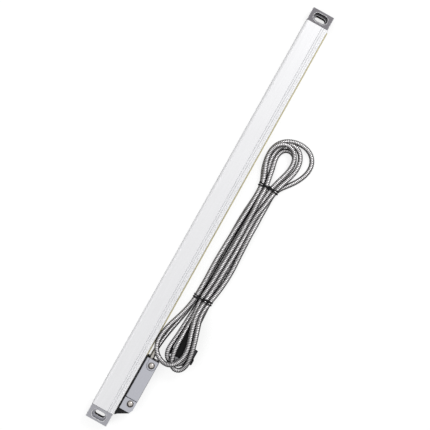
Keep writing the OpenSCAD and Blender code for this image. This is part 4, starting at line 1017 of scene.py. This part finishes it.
@dataclass
class Studio:
    """Pale floor, soft light and the camera that looks straight down.

    Attributes:
        turn: Turn of the picture about the vertical, in degrees.
        aim: Point on the housing that the optical axis passes, in mm.
        height: Height of the camera above the floor, in mm.
        lens: Focal length, in mm.
        sensor: Width of the camera's sensor, in mm.
        far: How far the camera sees, in mm.
        sky: Direction of the middle of the bright overhead.
        fade: Cosines of the angles to it at which the overhead is darkest and brightest.
        dim: Its strength where it is darkest.
        ambient: Strength of the light that the overhead gives to a dull surface.
        wide: Half the floor's side, in mm.
        paper: Colours of the floor, and the darker one that metal mirrors, which is painted shade for the darker
            edges of shiny pieces, sRGB hex.
        glow: The floor's own light for each kind of ray that meets it.
    """

    turn: float = -60.8
    aim: Pair = (4.3, -3.8)
    height: float = 1053.0
    lens: float = 82.6
    sensor: float = 36.0
    far: float = 10000.0
    sky: Point = (0.25, -0.07, 0.96)
    fade: Pair = (0.1, 0.85)
    dim: float = 0.05
    ambient: float = 0.6
    wide: float = 3000.0
    paper: tuple[str, str] = ("949494", "585858")
    glow: tuple[tuple[str, float], ...] = (("Is Camera Ray", 0.77), ("Is Diffuse Ray", 0.6),
                                           ("Is Transmission Ray", 0.6), ("Is Glossy Ray", 0.0))

    def camera(self) -> None:
        """Creates the camera and makes it the scene's own."""
        data = bpy.data.cameras.new("camera")
        data.lens, data.sensor_width, data.clip_end = self.lens, self.sensor, self.far * MM
        view = linked("camera", data)
        view.location = (self.aim[0] * MM, self.aim[1] * MM, self.height * MM)
        view.rotation_euler = (0, 0, math.radians(self.turn))
        bpy.context.scene.camera = view

    def surroundings(self) -> None:
        """The room: white where the camera looks, and a mirror's view of it fades towards the horizon."""
        world = bpy.data.worlds.new("studio")
        bpy.context.scene.world = world
        world.use_nodes = True
        tree = world.node_tree
        back = tree.nodes["Background"]
        rays = add(tree, "ShaderNodeLightPath").outputs
        way = add(tree, "ShaderNodeTexCoord").outputs["Generated"]
        lean = add(tree, "ShaderNodeVectorMath", {0: way, 1: Vector(self.sky).normalized()},
                   operation="DOT_PRODUCT").outputs["Value"]
        up = add(tree, "ShaderNodeMapRange", {"Value": lean, "From Min": self.fade[0], "From Max": self.fade[1],
                                              "To Min": self.dim}, interpolation_type="SMOOTHSTEP")
        seen = maths(tree, "MAXIMUM", rays["Is Glossy Ray"], rays["Is Transmission Ray"])
        level = add(tree, "ShaderNodeMapRange", {"Value": seen, "To Min": self.ambient})
        both = maths(tree, "MULTIPLY", up.outputs[0], level.outputs[0])
        tree.links.new(maths(tree, "MAXIMUM", both, rays["Is Camera Ray"]), back.inputs["Strength"])
        back.inputs["Color"].default_value = linear("ffffff")

    def lamp(self, name: str, place: Point, size: float, power: float, mirrored: bool = False) -> None:
        """A square soft lamp that points at the object.

        Args:
            name: Its name.
            place: Where it hangs, in mm.
            size: Its side, in mm.
            power: Its power in watts.
            mirrored: Whether shiny pieces show it as a glint.
        """
        data = bpy.data.lights.new(name, "AREA")
        data.shape, data.size, data.energy = "SQUARE", size * MM, power
        lamp = linked(name, data)
        lamp.location = Vector(place) * MM
        lamp.visible_glossy = mirrored
        lamp.rotation_euler = (-lamp.location).to_track_quat("-Z", "Y").to_euler()

    def floor(self) -> None:
        """A wide pale sheet under the object that keeps a soft shadow."""
        mesh = bmesh.new()
        bmesh.ops.create_grid(mesh, x_segments=1, y_segments=1, size=self.wide * MM)
        sheet = new_piece("floor", mesh)
        made = bpy.data.materials.new("pale paper")
        made.use_nodes = True
        tree = made.node_tree
        shader = tree.nodes["Principled BSDF"]
        shader.inputs["Roughness"].default_value = 0.9
        rays = add(tree, "ShaderNodeLightPath").outputs
        straight, mirrored = map(linear, self.paper)
        # painted shade: metal mirrors a darker floor than the camera sees
        paper = add(tree, "ShaderNodeMix", {"Factor": rays["Is Glossy Ray"], "A": straight, "B": mirrored},
                    data_type="RGBA")
        tree.links.new(paper.outputs["Result"], shader.inputs["Base Color"])
        glow = 0.0
        for kind, level in self.glow:
            glow = maths(tree, "MULTIPLY_ADD", rays[kind], level, glow)
        shader.inputs["Emission Color"].default_value = linear("ffffff")
        tree.links.new(glow, shader.inputs["Emission Strength"])
        sheet.data.materials.append(made)

    def build(self) -> None:
        """Sets up the view, the light and the floor."""
        bpy.context.scene.view_settings.view_transform = "Standard"
        self.camera()
        self.surroundings()
        self.lamp("key", (-500, 500, 1300), 900, 6.8)
        self.lamp("glint", (750, -220, 950), 400, 4.2, mirrored=True)
        self.floor()


def main() -> None:
    """Sets up the studio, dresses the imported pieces, and makes the cable and its ties."""
    logging.basicConfig(level=logging.INFO, format="%(name)s: %(message)s")
    Studio().build()
    Dressing().apply()
    cable = ArmouredCable()
    hose = cable.build()
    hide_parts("cable_lead", "cable_hank", "cable_tail")
    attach(hose, "head")
    LOG.info("armoured_cable: %.0f mm long, %d faces", cable.length(), len(hose.data.polygons))
    for side, place in zip(("left", "right"), TIES):
        CableTie(f"cable_tie_{side}", f"tie_{side}", place, cable.route).build()


if __name__ == "__main__":
    main()
